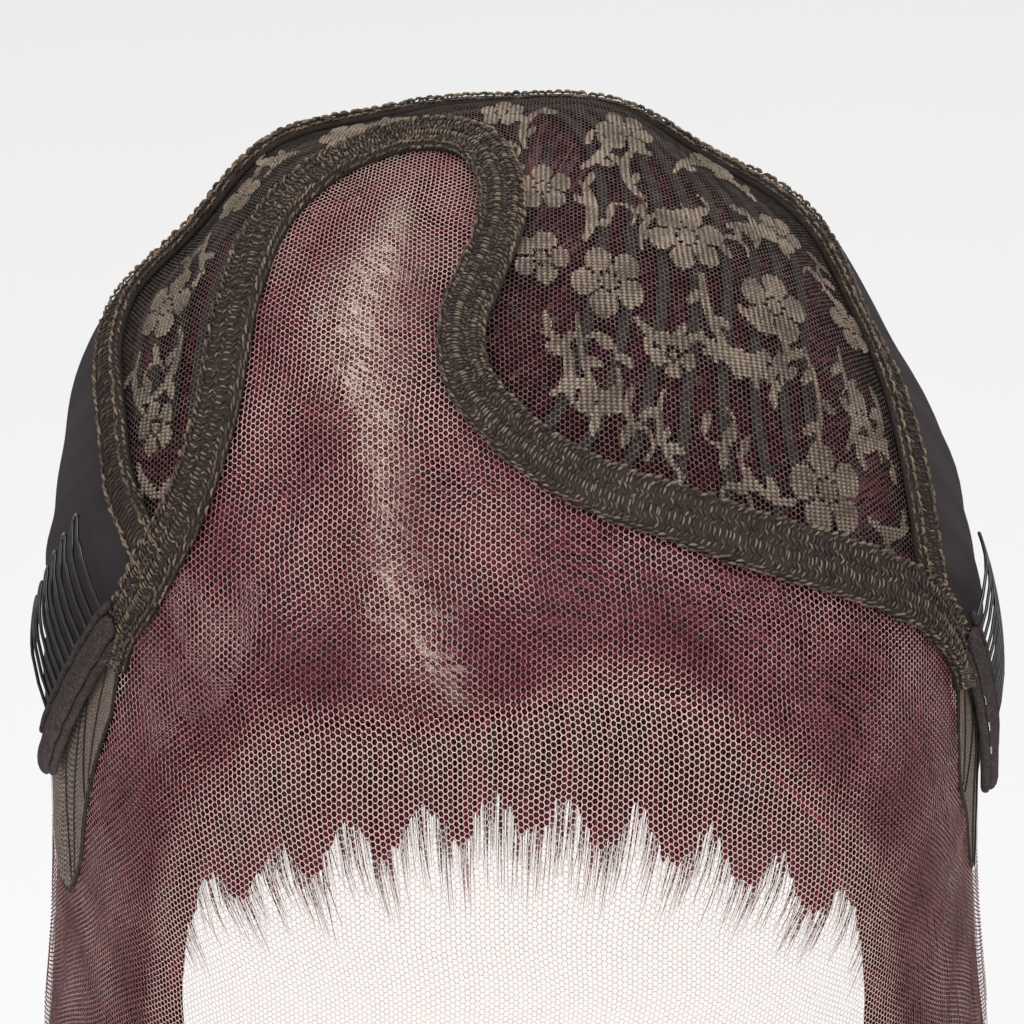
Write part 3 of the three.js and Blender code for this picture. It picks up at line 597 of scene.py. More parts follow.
# side of a cell, width of a thread, reach on the chart, height over the head form, and unevenness
NETS = {
    "front": {"side": 0.625, "thread": 0.165, "reach": 205, "height": -0.3, "wobble": 0.25},
    "doubled": {"side": 0.56, "thread": 0.2, "reach": 90, "height": -0.42, "wobble": 0.35},
    "crown": {"side": 0.58, "thread": 0.14, "reach": 200, "height": -0.4, "wobble": 0.2},
}
points, faces, u, v, top = net(lambda n: over("lace_front", n), **NETS["front"])
cells = from_chart(u, v)
in_hair = over("front_hair", cells)
pale = paleness(cells)
haired = np.where(in_hair, 1 - pale, 0)
# The net's threads are darker over hair, more so in soft patches and in a band behind the hairline. Over
# hair they are also darker low on the front and lighter toward the top: partly a paler net and partly
# painted light from above.
BAND_MIDDLE = 11
BAND_WIDTH = 7
BARE_TONE = 0.08
HAIRED_TONE = 0.24
along_u = np.sin(u * 0.19 + 1 + 0.6 * np.sin(v * 0.11))
along_v = np.sin(v * 0.16 + 2 + 0.7 * np.sin(u * 0.13))
patches = along_u * along_v * 0.16
hem_gap = nearest(on_head(cells), hairline_points)
deep_band = np.exp(-((hem_gap - BAND_MIDDLE) / BAND_WIDTH) ** 2) * 0.2
# painted light and shade from above, partly a paler net: darker low on the front, lighter toward the top
top_light_and_paler_net = 0.1 * np.clip((45 - v) / 30, 0, 1) - 0.1 * np.clip((v - 55) / 20, 0, 1)
net_tone = BARE_TONE + (HAIRED_TONE + patches + deep_band + top_light_and_paler_net) * haired
net_tone = np.clip(net_tone + rng.normal(0, 0.05, len(u)), 0, 1)
net_tones = np.repeat(net_tone, 6)
bare = ~np.repeat(in_hair, 6)
over_hair = [f[~bare[f].all(axis=1)] for f in faces]
over_brow = [f[bare[f].all(axis=1)] for f in faces]
add_piece("lace_front_net", points, over_hair, front_net_look, "front_lace", ("lace_front",),
          tones=net_tones)
add_piece("brow_net", points, over_brow, brow_net_look, "front_lace", tones=net_tones)

# Where the net lies double, at the left temple
DOUBLED = table("u v long wide turn", [
    (-57, 6, 12, 5, -60), (-47, 3, 9, 5, 50), (-55, -6, 10, 5, 20), (-64, -10, 9, 5, 70),
    (-66, 2, 8, 4, 100),
])


def in_doubled(directions):
    u, v = to_chart(directions)
    inside = np.zeros(len(u), bool)
    for patch in DOUBLED:
        du, dv = u - patch["u"], v - patch["v"]
        turn = np.radians(patch["turn"])
        along = (du * np.cos(turn) + dv * np.sin(turn)) / patch["long"]
        across = (dv * np.cos(turn) - du * np.sin(turn)) / patch["wide"]
        inside |= np.hypot(along, across) < 1 + 0.15 * np.sin(u * 1.3) * np.cos(v * 1.1)
    return inside & over("front_hair", directions)


points, faces, patch_u, _, _ = net(in_doubled, **NETS["doubled"])
patch_tones = np.repeat(rng.uniform(0.1, 0.8, len(patch_u)), 6)
add_piece("doubled_net", points, faces, doubled_look, "front_lace", tones=patch_tones)

# Each knot sits on the level thread over its cell. Past the hairline they thin out over the fade's width.
KNOT_WIDTH = 0.5
KNOT_HEIGHT = 0.38
KNOT_FOOT = -0.35
KNOT_TOP = -0.12
FADE_WIDTH = 6
fading = ~in_hair & (hem_gap < FADE_WIDTH)
sparse = 0.5 * (1 - hem_gap / FADE_WIDTH) ** 2
in_part_top = (1 - haired) * np.clip((v - 8) / 30, 0, 1)
knotted = 0.8 + 0.15 * haired - 0.62 * in_part_top
chance = np.where(in_hair, knotted, np.where(fading, sparse, 0))
wanted = (top >= 0) & (rng.random(len(u)) < chance)
size = (0.9 + 0.1 * haired[wanted]) * rng.uniform(0.8, 1.2, wanted.sum())
knot_u = u[wanted] + rng.normal(0, 0.05, wanted.sum())
knot_v = v[wanted] + NETS["front"]["side"] * np.sqrt(3) / 2
shape_u = np.array([-1, 0, 1, 0, 0]) * KNOT_WIDTH / 2
shape_v = np.array([0, -1, 0, 1, 0]) * KNOT_HEIGHT / 2
knots_n = from_chart(knot_u[:, None] + shape_u * size[:, None], knot_v[:, None] + shape_v * size[:, None])
points = on_head(knots_n, np.array([KNOT_FOOT] * 4 + [KNOT_TOP])).reshape(-1, 3)
first = np.arange(wanted.sum())[:, None] * 5
faces = [first + np.array([[k, (k + 1) % 4, 4]]) for k in range(4)]
add_piece("knots", points, faces, knot_look, "hair", tones=np.repeat(rng.random(wanted.sum()) * 0.8, 5))

HAIRS = 5000
HAIR_WIDTH = 0.2
HAIR_SCATTER = 0.3
HAIR_LENGTHS = (2.5, 8.5)
HAIR_STEPS = 5
chosen = np.nonzero((in_hair & (pale > 0.04)) | (fading & (rng.random(len(u)) < sparse)))[0]
chosen = rng.choice(chosen, min(HAIRS, len(chosen)), replace=False)
steps = np.linspace(0, 1, HAIR_STEPS + 1)
root_u = u[chosen] + rng.normal(0, HAIR_SCATTER, len(chosen))
root_v = v[chosen] + rng.normal(0, HAIR_SCATTER, len(chosen))
away_from_part = np.where(root_u > -4 + 0.05 * root_v, 1.0, -1.0)
heading = np.radians(90 - away_from_part * rng.uniform(15, 75, len(chosen)))
bend = np.radians(away_from_part * rng.uniform(-50, 25, len(chosen)))
length = rng.uniform(*HAIR_LENGTHS, len(chosen)) * np.where(in_hair[chosen], 1, 0.7)
angles = heading[:, None] + bend[:, None] * steps
du = np.cumsum(np.cos(angles) * (length / HAIR_STEPS)[:, None], axis=1)
dv = np.cumsum(np.sin(angles) * (length / HAIR_STEPS)[:, None], axis=1)
hairs_n = from_chart(root_u[:, None] + du, root_v[:, None] + dv)
paths = on_head(hairs_n, -0.42 - 0.8 * steps)
flat_thread = [(-0.5, 0), (0.5, 0)]
thinning = HAIR_WIDTH * (1 - 0.6 * steps)
parts = tubes(paths, hairs_n, flat_thread, False, thinning, rng.random(len(chosen)) * 0.7)
add_parts("hairline_hairs", parts, knot_look, "hair")

# The crown's net and the floral threads on it

points, faces, u, v, top = net(lambda n: over("crown_lace", n), **NETS["crown"])
add_piece("crown_lace_net", points, faces, crown_net_look, "stretch_lace", ("crown_lace",),
          tones=np.repeat(rng.uniform(0.2, 0.75, len(u)), 6))


def in_ellipse(u, v, middle_u, middle_v, angle, half_long, half_wide):
    du, dv = u - middle_u, v - middle_v
    along = du * np.cos(angle) + dv * np.sin(angle)
    across = -du * np.sin(angle) + dv * np.cos(angle)
    return (along / half_long) ** 2 + (across / half_wide) ** 2 < 1


def in_ring(u, v, flower, count, turn, away, half_long, half_wide):
    """Ellipses in a ring round a flower's middle, each one pointing outward."""
    inside = np.zeros(len(u), bool)
    for k in range(count):
        angle = turn + 2 * np.pi * k / count
        middle_u = flower["u"] + away * np.cos(angle)
        middle_v = flower["v"] + away * np.sin(angle)
        inside |= in_ellipse(u, v, middle_u, middle_v, angle, half_long, half_wide)
    return inside


PINHOLES = 8
PINHOLE_RADIUS = 0.42
SLIT_HALF = 0.3


def in_flower(u, v, flower):
    """Broad overlapping petals round a ring of pinholes, with slits between the petals."""
    r, petals = flower["r"], flower["petals"]
    turn = np.radians(flower["turn"])
    inside = in_ellipse(u, v, flower["u"], flower["v"], 0, 0.5 * r, 0.5 * r)
    inside |= in_ring(u, v, flower, petals, turn, 0.6 * r, 0.42 * r, 3.1 / petals * 0.66 * r)
    inside &= ~in_ring(u, v, flower, PINHOLES, 0, 0.27 * r, PINHOLE_RADIUS, PINHOLE_RADIUS)
    return inside & ~in_ring(u, v, flower, petals, turn + np.pi / petals, 0.68 * r, 0.26 * r, SLIT_HALF)


LEAF_PITCH = 4.6
LEAF_LEAN = 0.9
LEAF_HALF_LENGTH = 2.1
LEAF_HALF_WIDTH = 1.0
STEM_STEPS = 29


def in_stem(u, v, stem):
    """A curved stem that swells in its middle, with small leaves to either side in turn."""
    share = np.linspace(0, 1, STEM_STEPS + 1)
    angle = np.radians(stem["heading"] + stem["bend"] * share)
    step = stem["length"] / STEM_STEPS
    line_u = stem["u"] + np.cumsum(np.cos(angle)) * step
    line_v = stem["v"] + np.cumsum(np.sin(angle)) * step
    half = stem["width"] / 2 * np.sin(np.pi * (0.12 + 0.8 * share)) ** 0.7
    away = np.hypot(u[:, None] - line_u, v[:, None] - line_v) - half
    inside = away.min(axis=1) < 0
    leaves = int(stem["length"] / LEAF_PITCH)
    for k in range(leaves):
        at = int((k + 0.7) / leaves * STEM_STEPS)
        lean = angle[at] + (LEAF_LEAN if k % 2 else -LEAF_LEAN)
        middle = 1.9 + stem["width"] / 3
        leaf_u = line_u[at] + middle * np.cos(lean)
        leaf_v = line_v[at] + middle * np.sin(lean)
        inside |= in_ellipse(u, v, leaf_u, leaf_v, lean, LEAF_HALF_LENGTH, LEAF_HALF_WIDTH)
    return inside


ROW_PITCH = 0.66
ROW_STEP = 0.24
ROW_HALF = 0.27
ROW_FOOT = -0.3
ROW_RAISE = 0.3
row_u, row_v = np.meshgrid(np.arange(-95, 100, ROW_STEP), np.arange(10, 150, ROW_PITCH))
flat_u, flat_v = row_u.ravel(), row_v.ravel()
filled = np.zeros(flat_u.shape, bool)
for flower in FLOWERS:
    near = np.hypot(flat_u - flower["u"], flat_v - flower["v"]) < flower["r"] * 1.1
    filled[near] |= in_flower(flat_u[near], flat_v[near], flower)
for stem in STEMS:
    near = np.hypot(flat_u - stem["u"], flat_v - stem["v"]) < stem["length"] + 6
    filled[near] |= in_stem(flat_u[near], flat_v[near], stem)
where = np.nonzero(filled)[0]
filled[where] = over("crown_lace", from_chart(flat_u[where], flat_v[where]))
filled = filled.reshape(row_u.shape)
wavy = row_v + 0.12 * np.sin(row_u * 5.6 + 1.3 * np.sin(row_v * 9))
n = from_chart(row_u[..., None] + np.zeros(3), wavy[..., None] + np.array([-ROW_HALF, 0, ROW_HALF]))
points = on_head(n, np.array([ROW_FOOT, ROW_FOOT + ROW_RAISE, ROW_FOOT])).reshape(-1, 3)
index = np.arange(row_u.size * 3).reshape(*row_u.shape, 3)
both = filled[:, :-1] & filled[:, 1:]
here, after = index[:, :-1][both], index[:, 1:][both]
faces = [np.stack([here[:, k], after[:, k], after[:, k + 1], here[:, k + 1]], axis=-1) for k in (0, 1)]
worn = 0.16 * np.sin(row_u * 0.31 + 2 * np.sin(row_v * 0.23)) * np.sin(row_v * 0.41)
row_tone = np.clip(0.42 + 0.28 * np.sin(row_u * 5.6) + worn + rng.normal(0, 0.12, row_u.shape), 0, 1)
add_piece("lace_flowers", points, faces, motif_look, "stretch_lace", tones=np.repeat(row_tone.ravel(), 3))

# The knitted trim and the crown tape

UNEVEN = {"along": 0.18, "across": 0.16, "high": 0.06, "tone": 0.25}


def stitch_rows(curve, rows, span, narrow=None):
    """Rows of small arched stitches along a curve, each a little out of its place."""
    parts = []
    total = curve.length()
    for row in rows:
        count = int(total * (span[1] - span[0]) / row["pitch"])
        t = np.linspace(*span, count, endpoint=False)
        t = t + rng.normal(0, UNEVEN["along"] * row["pitch"] / total, count)
        share = np.linspace(-0.5, 0.5, 4)
        along = t[:, None] + share * row["slant"] / total
        across = row["across"] + share * row["reach"] + rng.normal(0, UNEVEN["across"], (count, 1))
        if narrow is not None:
            across = across * narrow(along)
        arch = row["high"] + 0.35 * row["width"] * np.cos(np.pi * share) * 2
        arch = arch + rng.normal(0, UNEVEN["high"], (count, 1))
        along = np.clip(along, *span)
        n = curve.beside(along, across)
        tone = np.clip(row["tone"] + rng.normal(0, UNEVEN["tone"], count), 0, 1)
        ends = np.array([0.55, 1, 1, 0.55])
        section = round_section(row["width"] / 2, 4)
        parts.append(tubes(on_head(n, arch), n, section, True, ends, tone))
    return joined(parts)


def band(curve, steps, profile, span=(0.0, 1.0), narrow=None):
    """A closed profile of [across, height] swept along a stretch of a curve, with its ends filled."""
    profile = np.asarray(profile, float)
    t = np.linspace(*span, steps)
    across = profile[:, 0] * np.ones((steps, 1))
    if narrow is not None:
        across = across * narrow(t)[:, None]
    n = curve.beside(np.repeat(t[:, None], len(profile), axis=1), across)
    points = on_head(n, profile[:, 1]).reshape(-1, 3)
    sides = len(profile)
    index = np.arange(steps * sides).reshape(steps, sides)
    turned = np.roll(index, -1, axis=1)
    quads = np.stack([index[:-1], index[1:], turned[1:], turned[:-1]], axis=-1).reshape(-1, 4)
    middle = len(points) + np.array([0, 1])
    points = np.vstack([points, points[index[0]].mean(axis=0), points[index[-1]].mean(axis=0)])
    first = np.stack([index[0], turned[0], np.full(sides, middle[0])], axis=-1)
    last = np.stack([turned[-1], index[-1], np.full(sides, middle[1])], axis=-1)
    return points, [quads, first, last], np.full(len(points), 0.4)


TRIM_SPAN = (0.012, 0.99)


def trim_narrow(t):
    return np.interp(np.minimum(t, 1 - t) / 0.09, [0, 1], [0.55, 1])


trim_profile = [
    (-4.3, -0.3), (4.4, -0.3), (4.5, 0.7), (3.8, 1.4), (2.2, 1.4), (0, 1.3), (-2.2, 1.4), (-3.7, 1.35),
    (-4.4, 0.7),
]
add_parts("front_trim_band", band(seam, 300, trim_profile, TRIM_SPAN, trim_narrow), trim_base_look, "trim",
          ("front_trim",))
TRIM_ROWS = table("across pitch reach slant width high tone", [
    (-4.6, 1, 0.2, 1.2, 0.5, 0.5, 0.45), (-4.2, 0.95, 0.4, 1.1, 0.42, 1.4, 0.5),
    (-3.3, 0.78, 0.9, 0.5, 0.4, 1.5, 0.42), (-2.3, 0.82, 1, -0.45, 0.4, 1.45, 0.3),
    (-1, 0.68, 1.4, 0.1, 0.36, 1.5, 0.66), (0.3, 0.82, 0.9, 0.5, 0.4, 1.4, 0.3),
    (1.2, 0.82, 0.9, -0.5, 0.4, 1.4, 0.36), (2.3, 0.72, 1.2, 0.2, 0.38, 1.5, 0.5),
    (3.4, 0.95, 0.8, 0.7, 0.45, 1.55, 0.45), (4.1, 1.3, 0.5, 1.1, 0.55, 1.5, 0.6),
])
add_parts("front_trim_stitches", stitch_rows(seam, TRIM_ROWS, TRIM_SPAN, trim_narrow), trim_look, "trim")

tape_profile = [(-3.2, -0.3), (3.2, -0.3), (3.3, 0.6), (2.6, 1.35), (0, 1.3), (-2.6, 1.35), (-3.3, 0.6)]
TAPE_SPAN = (0.0, 0.995)
add_parts("crown_tape_band", band(tape, 240, tape_profile, TAPE_SPAN), trim_base_look, "tape",
          ("crown_tape",))
TAPE_ROWS = table("across pitch reach slant width high tone", [
    (3.4, 1.1, 0.2, 1.2, 0.45, 0.7, 0.45), (-3.4, 1.1, 0.2, 1.2, 0.45, 0.7, 0.45),
    (-2.7, 1.5, 0.4, 1.5, 0.5, 1.5, 0.62), (-2.7, 1.5, -0.4, 1.5, 0.42, 1.45, 0.5),
    (2.6, 1.5, 0.4, 1.5, 0.5, 1.5, 0.62), (2.6, 1.5, -0.4, 1.5, 0.42, 1.45, 0.5),
    (-0.9, 0.82, 1.6, 0.3, 0.36, 1.35, 0.22), (0.9, 0.82, 1.6, -0.3, 0.36, 1.35, 0.16),
])
add_parts("crown_tape_stitches", stitch_rows(tape, TAPE_ROWS, TAPE_SPAN), tape_look, "tape")

# The ribbed back panel and its hem

left_sleeve = Curve(bearings(TEMPLES["left"]["sleeve"]))
right_sleeve = Curve(bearings(TEMPLES["right"]["sleeve"]))
PANEL_INSET = 0.3
share = np.linspace(0.02, 1, 12)
panel_top = Curve(np.vstack([
    left_sleeve.beside(1 - share, np.full(12, -PANEL_INSET)),
    tape.beside(np.linspace(0.04, 0.97, 40), np.full(40, PANEL_INSET)),
    right_sleeve.beside(share, np.full(12, PANEL_INSET)),
]))


def panel_at(s, v):
    return between(panel_top.at(s), hem.at(1 - s), v)


def panel_heights(s, v, n):
    fold = 0.5 * np.sin(s * 63 + 2 * np.sin(v * 4)) + 0.25 * np.sin(s * 150 + 3 * np.sin(v * 3 + 1))
    fold = fold * np.sin(np.pi * np.clip(v * 1.1, 0, 1)) * 0.7
    return -0.15 + fold, -CLOTH + fold


points, faces, s, v = shell(panel_at, 220, 36, panel_heights)
panel_look = Look("ribbed_panel", 0.85, specular=0.06)
ribs = panel_look.wave(600, "Y", 0.3)
folds = panel_look.noise(1.0, 3, panel_look.place((160, 6, 1), mapped=True))
# painted shade and light: the colour is darker in the rib grooves and soft fold hollows and lighter on
# their tops, following the bump
panel_look.colour(panel_look.sum(ribs, folds, 1.1), [
    (0.45, (42, 37, 39)), (0.8, (62, 55, 58)), (1.0, (86, 78, 81))])
panel_look.bump(panel_look.sum(ribs, folds, 1.2), 0.0005, 1.0)
back_panel = add_piece(
    "back_panel_cloth", points, faces, panel_look.material, "ribbed_panel", ("back_panel",),
    uv=np.stack([s * 0.45, v * 0.16], axis=1))
hem_profile = [(-1.6, -1.2), (1.2, -1.2), (1.9, -0.5), (1.2, 0.35), (-1.6, 0.3), (-2.2, -0.4)]
parts = band(hem, 160, hem_profile)
add_piece("hem_fold", *parts[:2], panel_look.material, "ribbed_panel", uv=parts[0][:, [0, 2]] * METRE * 3)

# The ear tabs, the comb sleeves and the wire combs

def cloth_look(name, stops, roughness, specular, scale, depth, strength):
    look = Look(name, roughness, specular)
    fine = look.noise(scale, 3)
    look.colour(fine, stops)
    look.bump(fine, depth, strength)
    return look.material


tab_look = cloth_look(
    "ear_tab_mesh", [(0.3, (40, 32, 32)), (0.7, (64, 52, 50))], 0.85, 0.1, 1500, 0.0002, 0.5)
tab_net_look = thread_look("tab_net", [(0.1, (96, 84, 76)), (0.6, (132, 117, 106)), (1.0, (158, 142, 130))])
sleeve_look = cloth_look(
    "comb_sleeves", [(0.3, (40, 35, 34)), (0.55, (58, 51, 50)), (0.8, (78, 70, 68))], 0.9, 0.06, 1800,
    0.0003, 0.6)
wire_look = Look("comb_wire", 0.12, specular=0.5)
wire_look.colour(wire_look.noise(900), [(0.3, (5, 5, 6)), (0.7, (13, 13, 15))])
bone_look = thread_look("tab_bones", [(0.1, (30, 26, 26)), (1.0, (50, 43, 42))], 0.8)

LOOPS = 6
LOOP_PITCH = 5.6
LOOP_WIDTH = 3.0
LOOP_TIP_WIDTH = 2.0
TOOTH_LENGTH = 21
TOOTH_BOW = 1.1
SLEEVE_WIDTH = 7
SPINE_HEIGHT = 2.3
SPINE_ACROSS = -SLEEVE_WIDTH / 4
COMB_MARGIN = 5
WIRE = 0.62
TAB_ROWS = 34
TAB_COLUMNS = 66
TAB_THREAD = 0.34
TAB_TOP = -0.35
TAB_NET_HEIGHT = -0.12
TAB_BONE_RADIUS = 0.16
# each stiff thread's place along the tab, at the sleeve and at the free edge
TAB_BONES = [(0.08, 0.2), (0.34, 0.23), (0.4, 0.47), (0.62, 0.5)]
# half of a wire loop: share of its half width, reach as a share of the tooth, and how much it is narrowed
LOOP = np.array([
    (1, 0, 0), (1, 0.2, 0), (1, 0.4, 0), (1, 0.6, 0), (1, 0.68, 0), (1, 0.73, 0.5), (1, 0.78, 1),
    (1, 0.86, 1), (1, 0.94, 1), (0.92, 0.965, 1), (0.7, 0.985, 1), (0.38, 0.997, 1),
])
ROLL_STEPS = 48
ROLL_ROUNDING = 1.6
EVEN_TONE = np.array([0.5])
# across toward the teeth, half width, half thickness, height, and the ends as shares of the sleeve's line
SLEEVE_ROLLS = table("across half thick high from to", [
    (2.2, 0.7, 0.8, 2.5, 0, 0.86), (-0.4, 2.1, 1.1, 2.3, 0.03, 1), (-2.7, 0.7, 0.8, 1.4, 0.06, 0.96),
])


def comb_place(curve, length, teeth, along, reach):
    across = SPINE_ACROSS + (TOOTH_LENGTH - SPINE_ACROSS) * reach
    n = curve.beside(along / length, teeth * across)
    out = np.maximum(across - SLEEVE_WIDTH / 2, 0) / (TOOTH_LENGTH - SLEEVE_WIDTH / 2)
    return on_head(n, SPINE_HEIGHT + TOOTH_BOW * np.sin(np.pi * out)), n


for name, temple in TEMPLES.items():
    teeth = temple["teeth"]
    sleeve = Curve(bearings(temple["sleeve"]))
    tab_edge = Curve(bearings(temple["tab"]))
    length = sleeve.length()

    half = LOOP[:, 0] * (LOOP_WIDTH + (LOOP_TIP_WIDTH - LOOP_WIDTH) * LOOP[:, 2]) / 2
    offset = np.concatenate([-half, [0], half[::-1]])
    reach = np.concatenate([LOOP[:, 1], [1], LOOP[::-1, 1]])
    middles = COMB_MARGIN + LOOP_PITCH * np.arange(LOOPS)
    paths, n = comb_place(sleeve, length, teeth, middles[:, None] + offset, reach + np.zeros((LOOPS, 1)))
    wires = [tubes(paths, n, round_section(WIRE / 2, 8))]
    spine = np.linspace(middles[0] - LOOP_WIDTH / 2, middles[-1] + LOOP_WIDTH / 2, 20)[None]
    paths, n = comb_place(sleeve, length, teeth, spine, np.zeros(spine.shape))
    wires.append(tubes(paths, n, round_section(WIRE / 2, 8)))
    add_parts(f"{name}_comb_wire", joined(wires), wire_look.material, "comb_wire", (f"{name}_comb",))

    rolls = []
    for roll in SLEEVE_ROLLS:
        along = np.linspace(roll["from"], roll["to"], ROLL_STEPS)
        end = np.minimum(along - roll["from"], roll["to"] - along) * length
        full = np.sqrt(np.clip(1 - (1 - np.clip(end / ROLL_ROUNDING, 0, 1)) ** 2, 0.02, 1))
        across = np.full(ROLL_STEPS, teeth * roll["across"]) + 0.12 * np.sin(along * 40)
        n = sleeve.beside(along, across)[None]
        path = on_head(n, np.full(ROLL_STEPS, roll["high"]))
        section = round_section(roll["half"], 14, roll["thick"] / roll["half"])
        rolls.append(tubes(path, n, section, True, full[None], EVEN_TONE))
    points, faces, _ = joined(rolls)
    add_piece(f"{name}_sleeve_rolls", points, faces, sleeve_look, "sleeve", (f"{name}_comb_sleeve",))

    def tab_at(s, v):
        upper = sleeve.beside(0.02 + 0.96 * s, np.full(s.shape, -teeth * 0.3))
        return between(upper, tab_edge.at(s), v)

    points, faces, s, v = shell(
        tab_at, 60, 20, lambda s, v, n: (np.full(s.shape, TAB_TOP), np.full(s.shape, -CLOTH)))
    add_piece(f"{name}_tab_cloth", points, faces, tab_look, "tab_mesh", (f"{name}_ear_tab",),
              uv=np.stack([s * 0.045, v * 0.03], axis=1))
    rows, columns = np.meshgrid(np.arange(TAB_ROWS), np.arange(TAB_COLUMNS), indexing="ij")
    square = np.array([(-1, -1), (1, -1), (1, 1), (-1, 1)]) * (1 - TAB_THREAD) / 2
    net_s = (columns[..., None] + 0.5 + square[:, 0]) / TAB_COLUMNS
    net_v = (rows[..., None] + 0.5 + square[:, 1] + 0.5 * (columns[..., None] % 2)) / (TAB_ROWS + 0.5)
    points = on_head(unit(tab_at(net_s, net_v)), TAB_NET_HEIGHT).reshape(-1, 3)
    cell = np.arange(TAB_ROWS * TAB_COLUMNS * 4).reshape(TAB_ROWS, TAB_COLUMNS, 4)
    upright = np.stack([cell[:, :-1, 1], cell[:, 1:, 0], cell[:, 1:, 3], cell[:, :-1, 2]], axis=-1)
    level = np.stack([cell[:-1, :, 3], cell[:-1, :, 2], cell[1:, :, 1], cell[1:, :, 0]], axis=-1)
    faces = [upright.reshape(-1, 4), level.reshape(-1, 4)]
    add_piece(f"{name}_tab_net", points, faces, tab_net_look, "tab_mesh", tones=rng.random(len(points)))
    share = np.linspace(0.02, 0.98, 10)
    starts, ends = np.array(TAB_BONES).T[..., None]
    n = unit(tab_at(starts + (ends - starts) * share, share + np.zeros(starts.shape)))
    bone_section = round_section(TAB_BONE_RADIUS, 4)
    bones = tubes(on_head(n, 0), n, bone_section, tone=rng.random(len(TAB_BONES)))
    add_parts(f"{name}_tab_bones", bones, bone_look, "tab_mesh")

# Hair: two skins in locks, rows of weft, and strands

def lock_wave(s, locks):
    return 0.5 - 0.5 * np.cos(2 * np.pi * locks * s)


def free_at(n):
    """0 where the hair lies on the head, 1 where it hangs free below it."""
    t = np.clip((-n[..., 2] - 0.55) / 0.13, 0, 1)
    return t * t * (3 - 2 * t)


def hair_faces(top, hollow, n):
    """The outer and inner height of the hair."""
    relief = LOCK_RELIEF * hollow
    return top - relief * free_at(n), top - HAIR_THICKNESS - LOCK_RELIEF + relief


def front_faces(s, v, n):
    return hair_faces(HAIR_TOP, lock_wave(v, SIDE_LOCKS), n)


def weft_faces(s, v, n):
    return hair_faces(WEFT_HAIR_TOP, lock_wave(s, BACK_LOCKS), n)


seam_rows = np.linspace(0, 1, len(SEAM))
left, right = TEMPLES["left"], TEMPLES["right"]
front_outer = Curve(np.vstack([
    bearings(left["fall"]), seam.beside(seam_rows, np.full(len(SEAM), -PART_SHIFT)),
    bearings(right["fall"])[::-1]]))
front_inner = Curve(np.vstack([
    bearings(left["inner_fall"]), hairline.at(np.array([0, 0.03])), hairline.at(SEAM[:, 2]),
    hairline.at(np.array([0.96, 1])), bearings(right["inner_fall"])[::-1]]))


def front_at(s, v):
    n = between(front_outer.at(s), front_inner.at(s), v)
    n[..., 2] -= LOCK_POINT * free_at(n) * (1 - lock_wave(v, SIDE_LOCKS))
    return n


def weft_at(s, v):
    along = (TAPE_FIRST_SEAM_ROW + s * (len(TAPE) - 1)) / (len(SEAM) - 1)
    start = seam.beside(along, np.full(s.shape, float(PART_SHIFT)))
    middle = tape.at(s)
    tip = round_head(TIPS["from"] + (TIPS["to"] - TIPS["from"]) * s, np.full(s.shape, TIPS["rise"]))
    tip[..., 2] -= LOCK_POINT * (1 - lock_wave(s, BACK_LOCKS))
    early = (v / CROWN_SHARE)[..., None]
    late = ((v - CROWN_SHARE) / (1 - CROWN_SHARE))[..., None]
    crossing = start * (1 - early) + middle * early
    return np.where((v < CROWN_SHARE)[..., None], crossing, middle * (1 - late) + tip * late)


# The numbers of a mix node's two colours and of its result
MIX_A, MIX_B, MIXED = 6, 7, 2
SCALP = (214, 196, 180)


def skin_look(name):
    """Streaks of hair along U, which turn to the scalp's colour where the tone says so."""
    look = Look(name, 0.8, specular=0)
    streaks = look.noise(1.0, 5, look.place((900, 30, 1), mapped=True))
    wine = [(0.3, (24, 8, 12)), (0.5, (46, 14, 21)), (0.7, (74, 23, 34))]
    look.colour(streaks, wine)
    look.bump(streaks, 0.0006, 0.9)
    ramp = look.shader.inputs["Base Color"].links[0].from_socket
    mix = look.node("ShaderNodeMix", data_type="RGBA")
    look.tree.links.new(look.tone(), mix.inputs["Factor"])
    look.tree.links.new(ramp, mix.inputs[MIX_A])
    mix.inputs[MIX_B].default_value = linear(*SCALP)
    look.tree.links.new(mix.outputs[MIXED], look.shader.inputs["Base Color"])
    return look.material


skin = skin_look("hair_skin")
HAIRLINE_SETBACK = 0.015


def set_back(s, v):
    return front_at(s, v * (1 - HAIRLINE_SETBACK))


points, faces, s, v = shell(set_back, 260, 44, front_faces)
outside = slice(0, len(s) // 2)
directions = unit(set_back(s[outside], v[outside]))
off_edge = np.clip((0.97 - v[outside]) / 0.08, 0, 1)
hem_fade = 0.1 * np.exp(-(nearest(on_head(directions), hairline_points) / 4) ** 2)
paler = np.clip(in_parting(directions) * 1.1 + hem_fade, 0, 1)
tone = np.zeros(len(s))
tone[outside] = paler * (1 - free_at(directions)) * off_edge
add_piece("front_hair_skin", points, faces, skin, "hair", ("front_hair",),
          uv=np.stack([v * 0.05, s * 0.5], axis=1), tones=tone)


def round_s(s):
    return WEFT_HAIR_ENDS + (1 - 2 * WEFT_HAIR_ENDS) * s


RAGGED_COLUMNS = 420
ragged = 1 - 0.012 * rng.random(RAGGED_COLUMNS + 1)


def ragged_v(s, v):
    """The ends of the hair, cut to many slightly different lengths."""
    longest = ragged[np.rint(s * RAGGED_COLUMNS).astype(int)]
    return np.where(v > 0.8, 0.8 + (v - 0.8) * (longest - 0.8) / 0.2, v)


points, faces, s, v = shell(
    lambda s, v: weft_at(round_s(s), ragged_v(s, v)), RAGGED_COLUMNS, 24,
    lambda s, v, n: weft_faces(round_s(s), v, n))
add_piece("wefted_hair_skin", points, faces, skin, "hair", ("wefted_hair",),
          uv=np.stack([s * 0.45, v * 0.2], axis=1), tones=np.zeros(len(s)))

